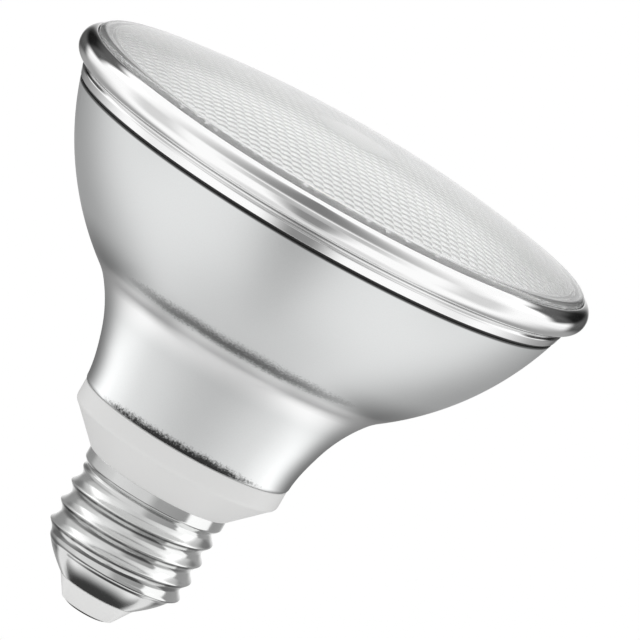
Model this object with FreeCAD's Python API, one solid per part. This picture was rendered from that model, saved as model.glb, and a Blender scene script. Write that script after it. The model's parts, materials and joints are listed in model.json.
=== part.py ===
import FreeCAD, Part
import math
import os

# Reflector spotlight lamp of the LED kind, 97 mm across, with an E27 screw base.
# Millimetres. +Z runs along the lamp's axis from the base to the lens.
# The origin is the middle of the centre contact's outer face.

V = FreeCAD.Vector
UP = V(0, 0, 1)
ORIGIN = V(0, 0, 0)

# Heights, stacked from the contact upwards
CAP_HEIGHT = 25.2
COLLAR_HEIGHT = 9.55
FLARE_HEIGHT = 17.85
CROWN_HEIGHT = 26.25
SEAM_HEIGHT = 0.5
BEZEL_HEIGHT = 5.05
LIP_HEIGHT = 2.7

NECK_Z = CAP_HEIGHT + COLLAR_HEIGHT
WAIST_Z = NECK_Z + FLARE_HEIGHT
SHOULDER_Z = WAIST_Z + CROWN_HEIGHT
BEZEL_Z = SHOULDER_Z + SEAM_HEIGHT
RIM_Z = BEZEL_Z + BEZEL_HEIGHT
LIP_Z = RIM_Z + LIP_HEIGHT

# Bowl: a convex crown above the waist and a concave flare below it
MOUTH_R = 45.3
WAIST_R = 26.57
NECK_R = 19.85
CROWN_ARC = 52.87
FLARE_ARC = 27.17
BOWL_WALL = 1.3
NECK_EDGE = 0.35
SPIGOT_SET = 0.7
SPIGOT_WALL = 1.0
LEDGE_DEPTH = 2.0
LEDGE_WIDTH = 1.0

# Bezel ring
BEAD_WALL = 1.11
BEAD_LOWER = 2.6
BEAD_UPPER_TUCK = 0.46
BEAD_UPPER_SHARE = 0.62
BEAD_LOWER_TUCK = 0.56
BEAD_LOWER_SHARE = 0.615
BAND_STEP = 0.7
BAND_TAPER = 0.45
GROOVE_DEPTH = 0.38
GROOVE_WIDTH = 0.42
LIP_OVERLAP = 0.7
LIP_THICK = 1.05
LIP_ROUND = 0.3

# Lens
LENS_STAND = 0.97904
DOME_ARC = 222.0
LENS_WALL = 2.3
LENS_FOOT_REACH = 2.6
LENS_FOOT_HEIGHT = 2.3
LENS_BORE_SET = 0.2
LENS_SHOULDER_WIDTH = 1.05
LENS_SHOULDER_DROP = 0.95

# Seals and small fits
FIT = 0.15
SLIP = 0.05
LENS_SEAL_HEIGHT = 0.5
GASKET_RECESS = 0.35

# Screw base
SHELL_BAND_HEIGHT = 1.9
SHELL_SHOULDER_HEIGHT = 1.4
SHELL_WALL = 0.35
THREAD_CREST_R = 13.05
THREAD_DEPTH = 1.1
THREAD_PITCH = 3.629
THREAD_FADE = 1.3
THREAD_SHARPNESS = 2.0
THREAD_START = 20.2
THREAD_TUCK = 0.1
THREAD_TOP_SHARE = 0.6
THREAD_ROWS_PER_PITCH = 14
THREAD_COLUMNS = 32
CORE_INSET = 0.15
SHOULDER_SHARE = 0.3
CONE_TOP_STEP = 0.35
CONE_TOP_Z = 9.5
CONE_FOOT_R = 7.05
CONE_FOOT_Z = 4.0
CONE_BELLY = 0.45
CONE_BELLY_DROP = 0.2
CONE_OVERLAP = 0.9
INSULATOR_TIP_STEP = 0.35
INSULATOR_TIP_Z = 0.45
INSULATOR_PLUG_HEIGHT = 2.6
CONTACT_R = 4.4
CONTACT_FLAT_R = 3.6
CONTACT_HEIGHT = 0.7
RIVET_R = 1.7
RIVET_HEIGHT = 4.2

# Driver housing: collar, tube in the neck, spigot in the screw shell
COLLAR_SET = 0.55
COLLAR_BAND = 3.15
COLLAR_ROUND = 0.9
COLLAR_ROUND_WIDTH = 0.6
COLLAR_ROUND_TUCK = 0.14
COLLAR_TOP_CHAMFER = 0.2
TUBE_GAP = 0.65
TUBE_WALL = 1.3
TUBE_HEIGHT = 13.15
CONE_WALL = 1.7
STEM_GAP = 0.3
STEM_WALL = 1.3
STEM_LENGTH = 12.8
POST_R = 2.4
POST_INSET = 2.2
POST_HEIGHT = 13.0
LID_HEIGHT = 1.2

# Light engine
SPREADER_HEIGHT = 3.4
PAD_HEIGHT = 0.2
LED_BOARD_MARGIN = 2.0
LED_BOARD_HEIGHT = 1.6
COB_INSET = 4.3
COB_HEIGHT = 1.0
PHOSPHOR_INSET = 1.2
PHOSPHOR_HEIGHT = 0.5
HOLDER_INSET = 1.1
HOLDER_HEIGHT = 2.0
WINDOW_STEP = 0.6
EAR_R = 2.4
EAR_REACH = 2.3
EAR_HEIGHT = 1.0
CUP_FOOT_STEP = 1.8
CUP_MID_GAP = 8.90581
CUP_MID_RISE = 7.1
CUP_MOUTH_SET = 1.3
CUP_WALL = 0.9
CUP_FLANGE = 0.8

# Screws
SCREW_COUNT = 3
CLAMP_SHANK_R = 1.25
CLAMP_HEAD_R = 2.2
CLAMP_HEAD_HEIGHT = 1.5
CLAMP_SINK = 1.8
CLAMP_LENGTH = 11.5
CLAMP_TURN = 90.0
BOARD_SCREW_INSET = 3.4
BOARD_SHANK_R = 1.0
BOARD_HEAD_R = 2.0
BOARD_HEAD_HEIGHT = 1.3
BOARD_SCREW_GRIP = 2.6
BOARD_TURN = 30.0
EAR_SHANK_R = 0.8
EAR_HEAD_R = 1.5
EAR_HEAD_HEIGHT = 0.9
EAR_SCREW_LENGTH = 2.4
DRIVE_WIDTH_SHARE = 0.35
DRIVE_DEPTH_SHARE = 0.5
SCREW_PLAY = 0.02
HOLE_PLAY = 0.25

# Driver board and what sits on it
BOARD_THICK = 1.6
BOARD_SIDE_GAP = 0.4
BOARD_TOP_GAP = 0.6
BOARD_STEP_GAP = 0.75
TONGUE_SIDE_GAP = 1.4
TONGUE_END_GAP = 2.9
SEAT = 0.1
TRANSFORMER_RISE = 0.9
TRANSFORMER_HEIGHT = 11.0
TRANSFORMER_PLATE = 2.2
TRANSFORMER_LEG = 1.8
WINDING_R = 4.5
WINDING_GAP = 0.2
WINDING_CORE_R = 2.3
NEIGHBOUR_GAP = 0.8
NEIGHBOUR_RISE = 0.5
FILM_SIZE = (5.4, 5.0, 9.0)
OUTPUT_CAP_R = 3.1
OUTPUT_CAP_HEIGHT = 9.5
BULK_CAP_GAP = 0.7
BULK_CAP_TOP_GAP = 0.3
BULK_CAP_RISE = 1.2
CAN_GROOVE_LOW = 1.2
CAN_GROOVE_WIDTH = 0.6
CAN_GROOVE_DEPTH = 0.3
INDUCTOR_R = 4.2
INDUCTOR_HEIGHT = 8.0
INDUCTOR_FLANGE = 1.2
INDUCTOR_NECK_R = 1.6
INDUCTOR_X = -4.8
INDUCTOR_RISE = 2.6
WINDING_SET = 0.4
BACK_ROW_X = 4.4
BRIDGE_RISE = 1.0
BACK_ROW_GAP = 1.5
BRIDGE_SIZE = (6.4, 2.6, 5.0)
TRANSISTOR_SIZE = (6.5, 2.3, 6.0)
CHIP_SIZE = (5.0, 1.6, 4.0)
CHIP_RISE = 0.6
VARISTOR_X = -4.4
VARISTOR_DROP = 0.6
VARISTOR_R = 3.4
VARISTOR_THICK = 2.6
FUSE_X = 4.6
FUSE_DROP = 0.8
FUSE_R = 1.5
FUSE_LENGTH = 6.5
FUSE_CAP_LENGTH = 1.4
FUSE_CAP_STEP = 0.2
SMALL_PART_SIZE = (2.0, 0.7, 1.25)
SMALL_PART_X = 6.0
SMALL_PART_STEP = 2.2
SMALL_PART_ROWS = 4

# Wires
WIRE_R = 0.5
WIRE_HOLE_R = 0.9
WIRE_BEND = 1.5
LIVE_BEND = 3.0
LIVE_START = 4.0
LIVE_TURN_HIGH = 3.2
LIVE_TURN_LOW = 6.4
NEUTRAL_DEPTH = 3.4
NEUTRAL_X = 6.2
NEUTRAL_DROP = 4.6
NEUTRAL_REACH = 0.1
LED_WIRE_DROP = 1.2
LED_BEND_SHARE = 0.45
LED_WIRE_INSET = 2.6
LED_WIRE_TURN = 60.0
LED_WIRE_REACH = 2.6


def flat(point):
    return V(point[0], 0, point[1])


def turned(steps):
    """Solid of revolution about Z. A step is a point (r, z), or a pair (via, end) for an arc."""
    here = flat(steps[0])
    edges = []
    for step in steps[1:]:
        if isinstance(step[0], tuple):
            via, end = flat(step[0]), flat(step[1])
            edges.append(Part.Arc(here, via, end).toShape())
            here = end
        else:
            end = flat(step)
            edges.append(Part.LineSegment(here, end).toShape())
            here = end
    first = flat(steps[0])
    if here.distanceToPoint(first) > 1e-7:
        edges.append(Part.LineSegment(here, first).toShape())
    face = Part.Face(Part.Wire(edges))
    solid = face.revolve(ORIGIN, UP, 360)
    return solid if solid.ShapeType == "Solid" else Part.makeSolid(solid)


def rod(radius, low, high, x=0.0, y=0.0):
    return Part.makeCylinder(radius, high - low, V(x, y, low), UP)


def ring(outer, inner, low, high):
    return rod(outer, low, high).cut(rod(inner, low - 1, high + 1))


def block(x_mid, x_size, y_low, y_high, z_low, z_high):
    corner = V(x_mid - x_size / 2, y_low, z_low)
    return Part.makeBox(x_size, y_high - y_low, z_high - z_low, corner)


def round_points(radius, turn, count=SCREW_COUNT):
    angles = [math.radians(turn + 360.0 * i / count) for i in range(count)]
    return [(radius * math.cos(a), radius * math.sin(a)) for a in angles]


def tube_along(points, radius, bend):
    """Round wire along straight runs joined by tangent arcs of one radius."""
    points = [V(*p) for p in points]
    edges = []
    here = points[0]
    for before, corner, after in zip(points, points[1:], points[2:]):
        back = (before - corner).normalize()
        ahead = (after - corner).normalize()
        half = back.getAngle(ahead) / 2
        reach = bend / math.tan(half)
        start = corner + back * reach
        end = corner + ahead * reach
        inward = (back + ahead).normalize()
        middle = corner + inward * (bend / math.sin(half) - bend)
        edges.append(Part.LineSegment(here, start).toShape())
        edges.append(Part.Arc(start, middle, end).toShape())
        here = end
    edges.append(Part.LineSegment(here, points[-1]).toShape())
    path = Part.Wire(edges)
    first = points[1] - points[0]
    section = Part.Wire([Part.Circle(points[0], first, radius).toShape()])
    return path.makePipeShell([section], True, False)


def arc_centre(low, high, radius, bulge):
    """Centre of the arc through two (r, z) points. bulge is 1 away from the axis, -1 towards it."""
    dr, dz = high[0] - low[0], high[1] - low[1]
    chord = math.hypot(dr, dz)
    mid = ((low[0] + high[0]) / 2, (low[1] + high[1]) / 2)
    rise = math.sqrt(radius ** 2 - chord ** 2 / 4)
    return mid[0] - bulge * dz / chord * rise, mid[1] + bulge * dr / chord * rise


CROWN_CENTRE = arc_centre((WAIST_R, WAIST_Z), (MOUTH_R, SHOULDER_Z), CROWN_ARC, 1)
FLARE_CENTRE = arc_centre((NECK_R, NECK_Z), (WAIST_R, WAIST_Z), FLARE_ARC, -1)


def crown_r(z, depth=0.0):
    """Radius of the crown at height z, measured depth inside its outer face."""
    return CROWN_CENTRE[0] + math.sqrt((CROWN_ARC - depth) ** 2 - (z - CROWN_CENTRE[1]) ** 2)


def flare_r(z, depth=0.0):
    """Radius of the flare at height z, measured depth inside its outer face."""
    return FLARE_CENTRE[0] - math.sqrt((FLARE_ARC + depth) ** 2 - (z - FLARE_CENTRE[1]) ** 2)


def crown_z(r, depth=0.0):
    return CROWN_CENTRE[1] - math.sqrt((CROWN_ARC - depth) ** 2 - (r - CROWN_CENTRE[0]) ** 2)


def waist_z(depth):
    """Height where crown and flare meet, depth inside the outer face: two circles cross near the waist."""
    crown, flare = V(*CROWN_CENTRE), V(*FLARE_CENTRE)
    apart = flare - crown
    far = apart.Length
    ahead = ((CROWN_ARC - depth) ** 2 - (FLARE_ARC + depth) ** 2 + far ** 2) / (2 * far)
    aside = math.sqrt(max(0.0, (CROWN_ARC - depth) ** 2 - ahead ** 2))
    foot = crown + apart * (ahead / far)
    turn = V(-apart.y, apart.x, 0) * (aside / far)
    waist = V(WAIST_R, WAIST_Z)
    return min((foot + turn, foot - turn), key=waist.distanceToPoint).y


def crown_arc(z_from, z_to, depth):
    middle = (z_from + z_to) / 2
    return (crown_r(middle, depth), middle), (crown_r(z_to, depth), z_to)


def flare_arc(z_from, z_to, depth):
    middle = (z_from + z_to) / 2
    return (flare_r(middle, depth), middle), (flare_r(z_to, depth), z_to)


# Places that more than one piece reads
SPIGOT_R = MOUTH_R - SPIGOT_SET
SPIGOT_BORE_R = SPIGOT_R - SPIGOT_WALL
LENS_FOOT_R = SPIGOT_R + LENS_FOOT_REACH
LENS_BORE_R = SPIGOT_BORE_R - LENS_BORE_SET
RIM_R = LENS_FOOT_R + FIT + BEAD_WALL
BAND_TOP_R = MOUTH_R + BAND_STEP
BAND_FOOT_R = BAND_TOP_R - BAND_TAPER
LIP_R = LENS_FOOT_R - LIP_OVERLAP
LENS_EDGE_R = LIP_R - FIT
LIP_LOW = LIP_Z - LIP_THICK
FOOT_HIGH = LIP_LOW - SLIP
FOOT_LOW = FOOT_HIGH - LENS_FOOT_HEIGHT
SPIGOT_TOP = FOOT_LOW - LENS_SEAL_HEIGHT
LEDGE_Z = SPIGOT_TOP - LEDGE_DEPTH
LEDGE_R = SPIGOT_BORE_R - LEDGE_WIDTH
CUP_MOUTH_R = LEDGE_R - CUP_MOUTH_SET
DOME_R = LENS_EDGE_R - LENS_SHOULDER_WIDTH
DOME_Z = LIP_Z + LENS_STAND - math.sqrt(DOME_ARC ** 2 - DOME_R ** 2)

COLLAR_R = NECK_R - COLLAR_SET
TUBE_TOP = NECK_Z + TUBE_HEIGHT
NARROW_Z = min(max(FLARE_CENTRE[1], NECK_Z), TUBE_TOP)
TUBE_R = flare_r(NARROW_Z, BOWL_WALL) - TUBE_GAP
TUBE_BORE_R = TUBE_R - TUBE_WALL
LID_TOP = TUBE_TOP + LID_HEIGHT
SPREADER_TOP = LID_TOP + SPREADER_HEIGHT
PAD_TOP = SPREADER_TOP + PAD_HEIGHT
LED_BOARD_TOP = PAD_TOP + LED_BOARD_HEIGHT
COB_TOP = LED_BOARD_TOP + COB_HEIGHT
HOLDER_TOP = LED_BOARD_TOP + HOLDER_HEIGHT
EAR_TOP = LED_BOARD_TOP + EAR_HEIGHT
SHELL_BAND_R = THREAD_CREST_R
THREAD_ROOT_R = THREAD_CREST_R - THREAD_DEPTH
CONE_TOP_R = THREAD_ROOT_R + CONE_TOP_STEP
INSULATOR_TIP_R = CONTACT_R + INSULATOR_TIP_STEP
STEM_R = THREAD_ROOT_R - SHELL_WALL - STEM_GAP
STEM_BORE_R = STEM_R - STEM_WALL
STEM_LOW = CAP_HEIGHT - STEM_LENGTH
BORE_LOW = CAP_HEIGHT + TUBE_BORE_R - STEM_BORE_R - CONE_WALL / 2

POST_CIRCLE_R = TUBE_BORE_R - POST_INSET
LED_WIRE_CIRCLE_R = TUBE_BORE_R - LED_WIRE_INSET
LED_PAD_CIRCLE_R = LED_WIRE_CIRCLE_R - LED_WIRE_REACH
LED_BOARD_R = LED_WIRE_CIRCLE_R + LED_BOARD_MARGIN
HOLDER_R = LED_PAD_CIRCLE_R - HOLDER_INSET
COB_SIDE = 2 * (HOLDER_R - COB_INSET)
PHOSPHOR_R = COB_SIDE / 2 - PHOSPHOR_INSET
HOLDER_WINDOW_R = PHOSPHOR_R + WINDOW_STEP
CUP_FOOT_R = HOLDER_WINDOW_R + CUP_FOOT_STEP
EAR_CIRCLE_R = HOLDER_R + EAR_REACH
BOARD_SCREW_CIRCLE_R = LED_BOARD_R - BOARD_SCREW_INSET
BOARD_SCREW_LENGTH = LED_BOARD_HEIGHT + PAD_HEIGHT + BOARD_SCREW_GRIP

CLAMP_POINTS = round_points(POST_CIRCLE_R, CLAMP_TURN)
BOARD_POINTS = round_points(BOARD_SCREW_CIRCLE_R, BOARD_TURN)
EAR_POINTS = round_points(EAR_CIRCLE_R, 0.0, 2)
WIRE_ANGLES = [math.radians(LED_WIRE_TURN), math.radians(180.0 - LED_WIRE_TURN)]
WIRE_POINTS = [(LED_WIRE_CIRCLE_R * math.cos(a), LED_WIRE_CIRCLE_R * math.sin(a)) for a in WIRE_ANGLES]

BOARD_TOP = TUBE_TOP - BOARD_TOP_GAP
BOARD_STEP = BORE_LOW + BOARD_STEP_GAP
TONGUE_LOW = STEM_LOW + TONGUE_END_GAP
BOARD_HALF_WIDTH = TUBE_BORE_R - BOARD_SIDE_GAP
TONGUE_HALF_WIDTH = STEM_BORE_R - TONGUE_SIDE_GAP
FRONT = BOARD_THICK / 2
BULK_CAP_R = (STEM_BORE_R - FRONT - SEAT - BULK_CAP_GAP) / 2
BULK_CAP_LOW = TONGUE_LOW + BULK_CAP_RISE
BULK_CAP_HEIGHT = BOARD_STEP + CHIP_RISE - CHIP_SIZE[2] - BULK_CAP_TOP_GAP - BULK_CAP_LOW
WIRE_Y = FRONT + WIRE_R + SEAT / 2
NEUTRAL_Z = CAP_HEIGHT - NEUTRAL_DEPTH
TRANSFORMER_LOW = BOARD_STEP + TRANSFORMER_RISE
TRANSFORMER_WIDTH = 2 * (WINDING_R + WINDING_GAP + TRANSFORMER_LEG)
TRANSFORMER_DEPTH = 2 * (WINDING_R + WINDING_GAP)
TRANSFORMER_Y = FRONT + SEAT + TRANSFORMER_DEPTH / 2
INDUCTOR_Y = -FRONT - SEAT - INDUCTOR_R
INDUCTOR_LOW = BOARD_STEP + INDUCTOR_RISE

THREAD_HIGH = CAP_HEIGHT - SHELL_BAND_HEIGHT - SHELL_SHOULDER_HEIGHT * THREAD_TOP_SHARE
THREAD_LOW = CONE_TOP_Z - THREAD_TUCK
CONE_SLOPE = math.hypot(CONE_TOP_R - CONE_FOOT_R, CONE_TOP_Z - CONE_FOOT_Z) / (CONE_TOP_Z - CONE_FOOT_Z)


def dome_z(r, depth=0.0):
    return DOME_Z + math.sqrt((DOME_ARC - depth) ** 2 - r ** 2)


def make_front_lens():
    top = dome_z(DOME_R)
    side = top - LENS_SHOULDER_DROP
    corner = 1 - math.sqrt(0.5)
    shoulder_via = (LENS_EDGE_R - LENS_SHOULDER_WIDTH * corner, top - LENS_SHOULDER_DROP * corner)
    return turned([
        (0, dome_z(0, LENS_WALL)),
        (0, dome_z(0)),
        ((DOME_R / 2, dome_z(DOME_R / 2)), (DOME_R, top)),
        (shoulder_via, (LENS_EDGE_R, side)),
        (LENS_EDGE_R, FOOT_HIGH),
        (LENS_FOOT_R, FOOT_HIGH),
        (LENS_FOOT_R, FOOT_LOW),
        (LENS_BORE_R, FOOT_LOW),
        (LENS_BORE_R, dome_z(LENS_BORE_R, LENS_WALL)),
        ((LENS_BORE_R / 2, dome_z(LENS_BORE_R / 2, LENS_WALL)), (0, dome_z(0, LENS_WALL))),
    ])


def make_front_rim():
    """Rounded bead outside, lip over the lens's foot, band with a groove below."""
    bead_low = RIM_Z - BEAD_LOWER
    groove_low = bead_low - GROOVE_WIDTH
    bore_r = SPIGOT_R + FIT
    foot_bore_r = LENS_FOOT_R + FIT
    upper_via = (RIM_R - BEAD_UPPER_TUCK, RIM_Z + LIP_HEIGHT * BEAD_UPPER_SHARE)
    lower_via = (RIM_R - BEAD_LOWER_TUCK, RIM_Z - BEAD_LOWER * BEAD_LOWER_SHARE)
    return turned([
        (LIP_R, LIP_LOW),
        (LIP_R, LIP_Z - LIP_ROUND),
        (LIP_R + LIP_ROUND / 2, LIP_Z),
        (upper_via, (RIM_R, RIM_Z)),
        (lower_via, (BAND_TOP_R, bead_low)),
        (BAND_TOP_R - GROOVE_DEPTH, bead_low),
        (BAND_TOP_R - GROOVE_DEPTH, groove_low),
        (BAND_TOP_R, groove_low),
        (BAND_FOOT_R, BEZEL_Z),
        (bore_r, BEZEL_Z),
        (bore_r, FOOT_LOW - SLIP),
        (foot_bore_r, FOOT_LOW - SLIP),
        (foot_bore_r, LIP_LOW),
    ])


def make_seam_gasket():
    return ring(MOUTH_R - GASKET_RECESS, SPIGOT_R, SHOULDER_Z, BEZEL_Z)


def make_lens_seal():
    return ring(SPIGOT_R, SPIGOT_BORE_R, SPIGOT_TOP, FOOT_LOW)


def make_reflector_bowl():
    inner_waist = waist_z(BOWL_WALL)
    wall_end = crown_z(LEDGE_R, BOWL_WALL)
    edge_z = NECK_Z + NECK_EDGE
    corner = NECK_EDGE * (1 - math.sqrt(0.5))
    edge_via = (flare_r(edge_z) - corner, NECK_Z + corner)
    return turned([
        (SPIGOT_R, SPIGOT_TOP),
        (SPIGOT_R, SHOULDER_Z),
        (MOUTH_R, SHOULDER_Z),
        crown_arc(SHOULDER_Z, WAIST_Z, 0),
        flare_arc(WAIST_Z, edge_z, 0),
        (edge_via, (flare_r(edge_z) - NECK_EDGE, NECK_Z)),
        (flare_r(NECK_Z, BOWL_WALL), NECK_Z),
        flare_arc(NECK_Z, inner_waist, BOWL_WALL),
        crown_arc(inner_waist, wall_end, BOWL_WALL),
        (LEDGE_R, LEDGE_Z),
        (SPIGOT_BORE_R, LEDGE_Z),
        (SPIGOT_BORE_R, SPIGOT_TOP),
    ])


def make_reflector_cup():
    """Mirrored cup whose foot stands on the holder and whose flange lies on the bowl's ledge."""
    foot_z = HOLDER_TOP + CUP_WALL
    mid_z = foot_z + CUP_MID_RISE
    mid_r = crown_r(mid_z, BOWL_WALL) - CUP_MID_GAP
    flange_top = LEDGE_Z + CUP_FLANGE
    inner = Part.Arc(flat((CUP_FOOT_R, foot_z)), flat((mid_r, mid_z)), flat((CUP_MOUTH_R, flange_top)))
    circle = inner.toShape().Curve
    centre, radius = circle.Center, circle.Radius + CUP_WALL

    def outer_r(z):
        return centre.x + math.sqrt(radius ** 2 - (z - centre.z) ** 2)

    half_way = (HOLDER_TOP + LEDGE_Z) / 2
    return turned([
        (CUP_FOOT_R, HOLDER_TOP),
        (CUP_FOOT_R, foot_z),
        ((mid_r, mid_z), (CUP_MOUTH_R, flange_top)),
        (SPIGOT_BORE_R - FIT, flange_top),
        (SPIGOT_BORE_R - FIT, LEDGE_Z),
        (outer_r(LEDGE_Z), LEDGE_Z),
        ((outer_r(half_way), half_way), (outer_r(HOLDER_TOP), HOLDER_TOP)),
    ])


def thread_r(turn, z, depth):
    """Wall of the rolled thread: a helical wave that dies away at both ends."""
    phase = (z - THREAD_START) / THREAD_PITCH - turn / (2 * math.pi)
    wave = ((1 + math.cos(2 * math.pi * phase)) / 2) ** THREAD_SHARPNESS
    ends = min(1.0, max(0.0, (z - THREAD_LOW) / THREAD_FADE), max(0.0, (THREAD_HIGH - z) / THREAD_FADE))
    fade = ends * ends * (3 - 2 * ends)
    return THREAD_ROOT_R - depth + (THREAD_CREST_R - THREAD_ROOT_R) * wave * fade


def thread_core(depth):
    """Solid bounded by the thread's wall: one cubic surface, closed round Z, with flat ends."""
    rows = math.ceil((THREAD_HIGH - THREAD_LOW) / THREAD_PITCH * THREAD_ROWS_PER_PITCH)
    levels = [THREAD_LOW + (THREAD_HIGH - THREAD_LOW) * i / rows for i in range(rows + 1)]
    turns = [2 * math.pi * j / THREAD_COLUMNS for j in range(THREAD_COLUMNS)]
    swell = 3 / (2 + math.cos(2 * math.pi / THREAD_COLUMNS))
    poles = []
    for turn in turns:
        radii = [swell * thread_r(turn, z, depth) for z in levels]
        poles.append([V(r * math.cos(turn), r * math.sin(turn), z) for r, z in zip(radii, levels)])
    knots = len(levels) - 2
    surface = Part.BSplineSurface()
    surface.buildFromPolesMultsKnots(
        poles, [1] * (THREAD_COLUMNS + 1), [4] + [1] * (knots - 2) + [4],
        list(range(THREAD_COLUMNS + 1)), list(range(knots)), True, False, 3, 3)
    side = surface.toShape()
    ends = []
    for z in (THREAD_LOW, THREAD_HIGH):
        level = [edge for edge in side.Edges if edge.BoundBox.ZLength < SLIP]
        ends.append(Part.Face(Part.Wire([edge for edge in level if abs(edge.BoundBox.ZMin - z) < SLIP])))
    shell = Part.Shell([side] + ends)
    shell.sewShape()
    solid = Part.makeSolid(shell)
    if solid.Volume < 0:
        solid.reverse()
    return solid


def shell_core(depth):
    """Solid inside the screw shell's outer face, moved inwards by depth."""
    band_low = CAP_HEIGHT - SHELL_BAND_HEIGHT
    shoulder_low = band_low - SHELL_SHOULDER_HEIGHT
    band_r = SHELL_BAND_R - depth
    root_r = THREAD_ROOT_R - depth - CORE_INSET
    middle = (band_low + shoulder_low) / 2
    top = turned([
        (0, shoulder_low),
        (root_r, shoulder_low),
        ((root_r + (band_r - root_r) * SHOULDER_SHARE, middle), (band_r, band_low)),
        (band_r, CAP_HEIGHT),
        (0, CAP_HEIGHT),
    ])
    sink = depth * CONE_SLOPE
    belly_r = (CONE_TOP_R + CONE_FOOT_R) / 2 + CONE_BELLY - sink
    belly = (belly_r, (CONE_TOP_Z + CONE_FOOT_Z) / 2 - CONE_BELLY_DROP)
    bottom = turned([
        (0, CONE_FOOT_Z),
        (CONE_FOOT_R - sink, CONE_FOOT_Z),
        (belly, (CONE_TOP_R - sink, CONE_TOP_Z)),
        (root_r, CONE_TOP_Z + CONE_OVERLAP),
        (0, CONE_TOP_Z + CONE_OVERLAP),
    ])
    return thread_core(depth).fuse([top, bottom])


def make_screw_shell():
    outer = shell_core(0.0)
    inner = shell_core(SHELL_WALL)
    open_ends = rod(SHELL_BAND_R - SHELL_WALL, CAP_HEIGHT - SHELL_BAND_HEIGHT / 2, CAP_HEIGHT + 1)
    return outer.cut(inner.fuse(open_ends))


def cone_bore_r(z):
    """Inside radius of the screw shell's lower cone."""
    sink = SHELL_WALL * CONE_SLOPE
    share = (z - CONE_FOOT_Z) / (CONE_TOP_Z - CONE_FOOT_Z)
    return CONE_FOOT_R - sink + share * (CONE_TOP_R - CONE_FOOT_R)


def make_base_insulator():
    """White tip below the shell, with a plug that seats in the shell's cone."""
    plug_top = CONE_FOOT_Z + INSULATOR_PLUG_HEIGHT
    body = turned([
        (0, INSULATOR_TIP_Z),
        (INSULATOR_TIP_R, INSULATOR_TIP_Z),
        (CONE_FOOT_R, CONE_FOOT_Z),
        (cone_bore_r(CONE_FOOT_Z) - FIT, CONE_FOOT_Z),
        (cone_bore_r(plug_top) - FIT, plug_top),
        (0, plug_top),
    ])
    rivet_hole = rod(RIVET_R + SLIP, INSULATOR_TIP_Z - 1, CONTACT_HEIGHT + RIVET_HEIGHT)
    seat = rod(CONTACT_R + SLIP, INSULATOR_TIP_Z - 1, CONTACT_HEIGHT)
    wire_hole = rod(WIRE_HOLE_R, 0, plug_top + 1)
    return body.cut(rivet_hole).cut(seat).cut(wire_hole)


def make_centre_contact():
    head = turned([
        (0, 0),
        (CONTACT_FLAT_R, 0),
        (CONTACT_R, CONTACT_HEIGHT / 2),
        (CONTACT_R, CONTACT_HEIGHT),
        (0, CONTACT_HEIGHT),
    ])
    rivet = rod(RIVET_R, 0, CONTACT_HEIGHT + RIVET_HEIGHT)
    wire_hole = rod(WIRE_R + SLIP, CONTACT_HEIGHT, CONTACT_HEIGHT + RIVET_HEIGHT + 1)
    return head.fuse(rivet).cut(wire_hole).removeSplitter()


def make_driver_housing():
    band_low = NECK_Z - COLLAR_BAND
    cone_top_z = band_low - COLLAR_ROUND
    cone_top_r = COLLAR_R - COLLAR_ROUND_WIDTH
    corner_via = (COLLAR_R - COLLAR_ROUND_TUCK, band_low - COLLAR_ROUND / 2)
    body = turned([
        (STEM_BORE_R, STEM_LOW),
        (STEM_R, STEM_LOW),
        (STEM_R, CAP_HEIGHT),
        (SHELL_BAND_R + FIT, CAP_HEIGHT),
        (cone_top_r, cone_top_z),
        (corner_via, (COLLAR_R, band_low)),
        (COLLAR_R, NECK_Z - COLLAR_TOP_CHAMFER),
        (COLLAR_R - COLLAR_TOP_CHAMFER, NECK_Z),
        (TUBE_R, NECK_Z),
        (TUBE_R, TUBE_TOP),
        (TUBE_BORE_R, TUBE_TOP),
        (TUBE_BORE_R, BORE_LOW),
        (STEM_BORE_R, BORE_LOW - (TUBE_BORE_R - STEM_BORE_R)),
    ])
    for x, y in CLAMP_POINTS:
        post = rod(POST_R, TUBE_TOP - POST_HEIGHT, TUBE_TOP, x, y)
        body = body.fuse(post.common(rod(TUBE_R - TUBE_WALL / 2, STEM_LOW, TUBE_TOP)))
    for x, y in CLAMP_POINTS:
        body = body.cut(rod(CLAMP_SHANK_R + SCREW_PLAY, TUBE_TOP - POST_HEIGHT + 1, TUBE_TOP + 1, x, y))
    exit_hole = Part.makeCylinder(WIRE_HOLE_R, STEM_R, V(0, WIRE_Y, NEUTRAL_Z), V(1, 0, 0))
    return body.cut(exit_hole)


def make_driver_lid():
    lid = rod(TUBE_R, TUBE_TOP, LID_TOP)
    for x, y in CLAMP_POINTS:
        lid = lid.cut(rod(CLAMP_SHANK_R + HOLE_PLAY, TUBE_TOP - 1, LID_TOP + 1, x, y))
    for x, y in WIRE_POINTS:
        lid = lid.cut(rod(WIRE_HOLE_R, TUBE_TOP - 1, LID_TOP + 1, x, y))
    return lid


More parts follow.
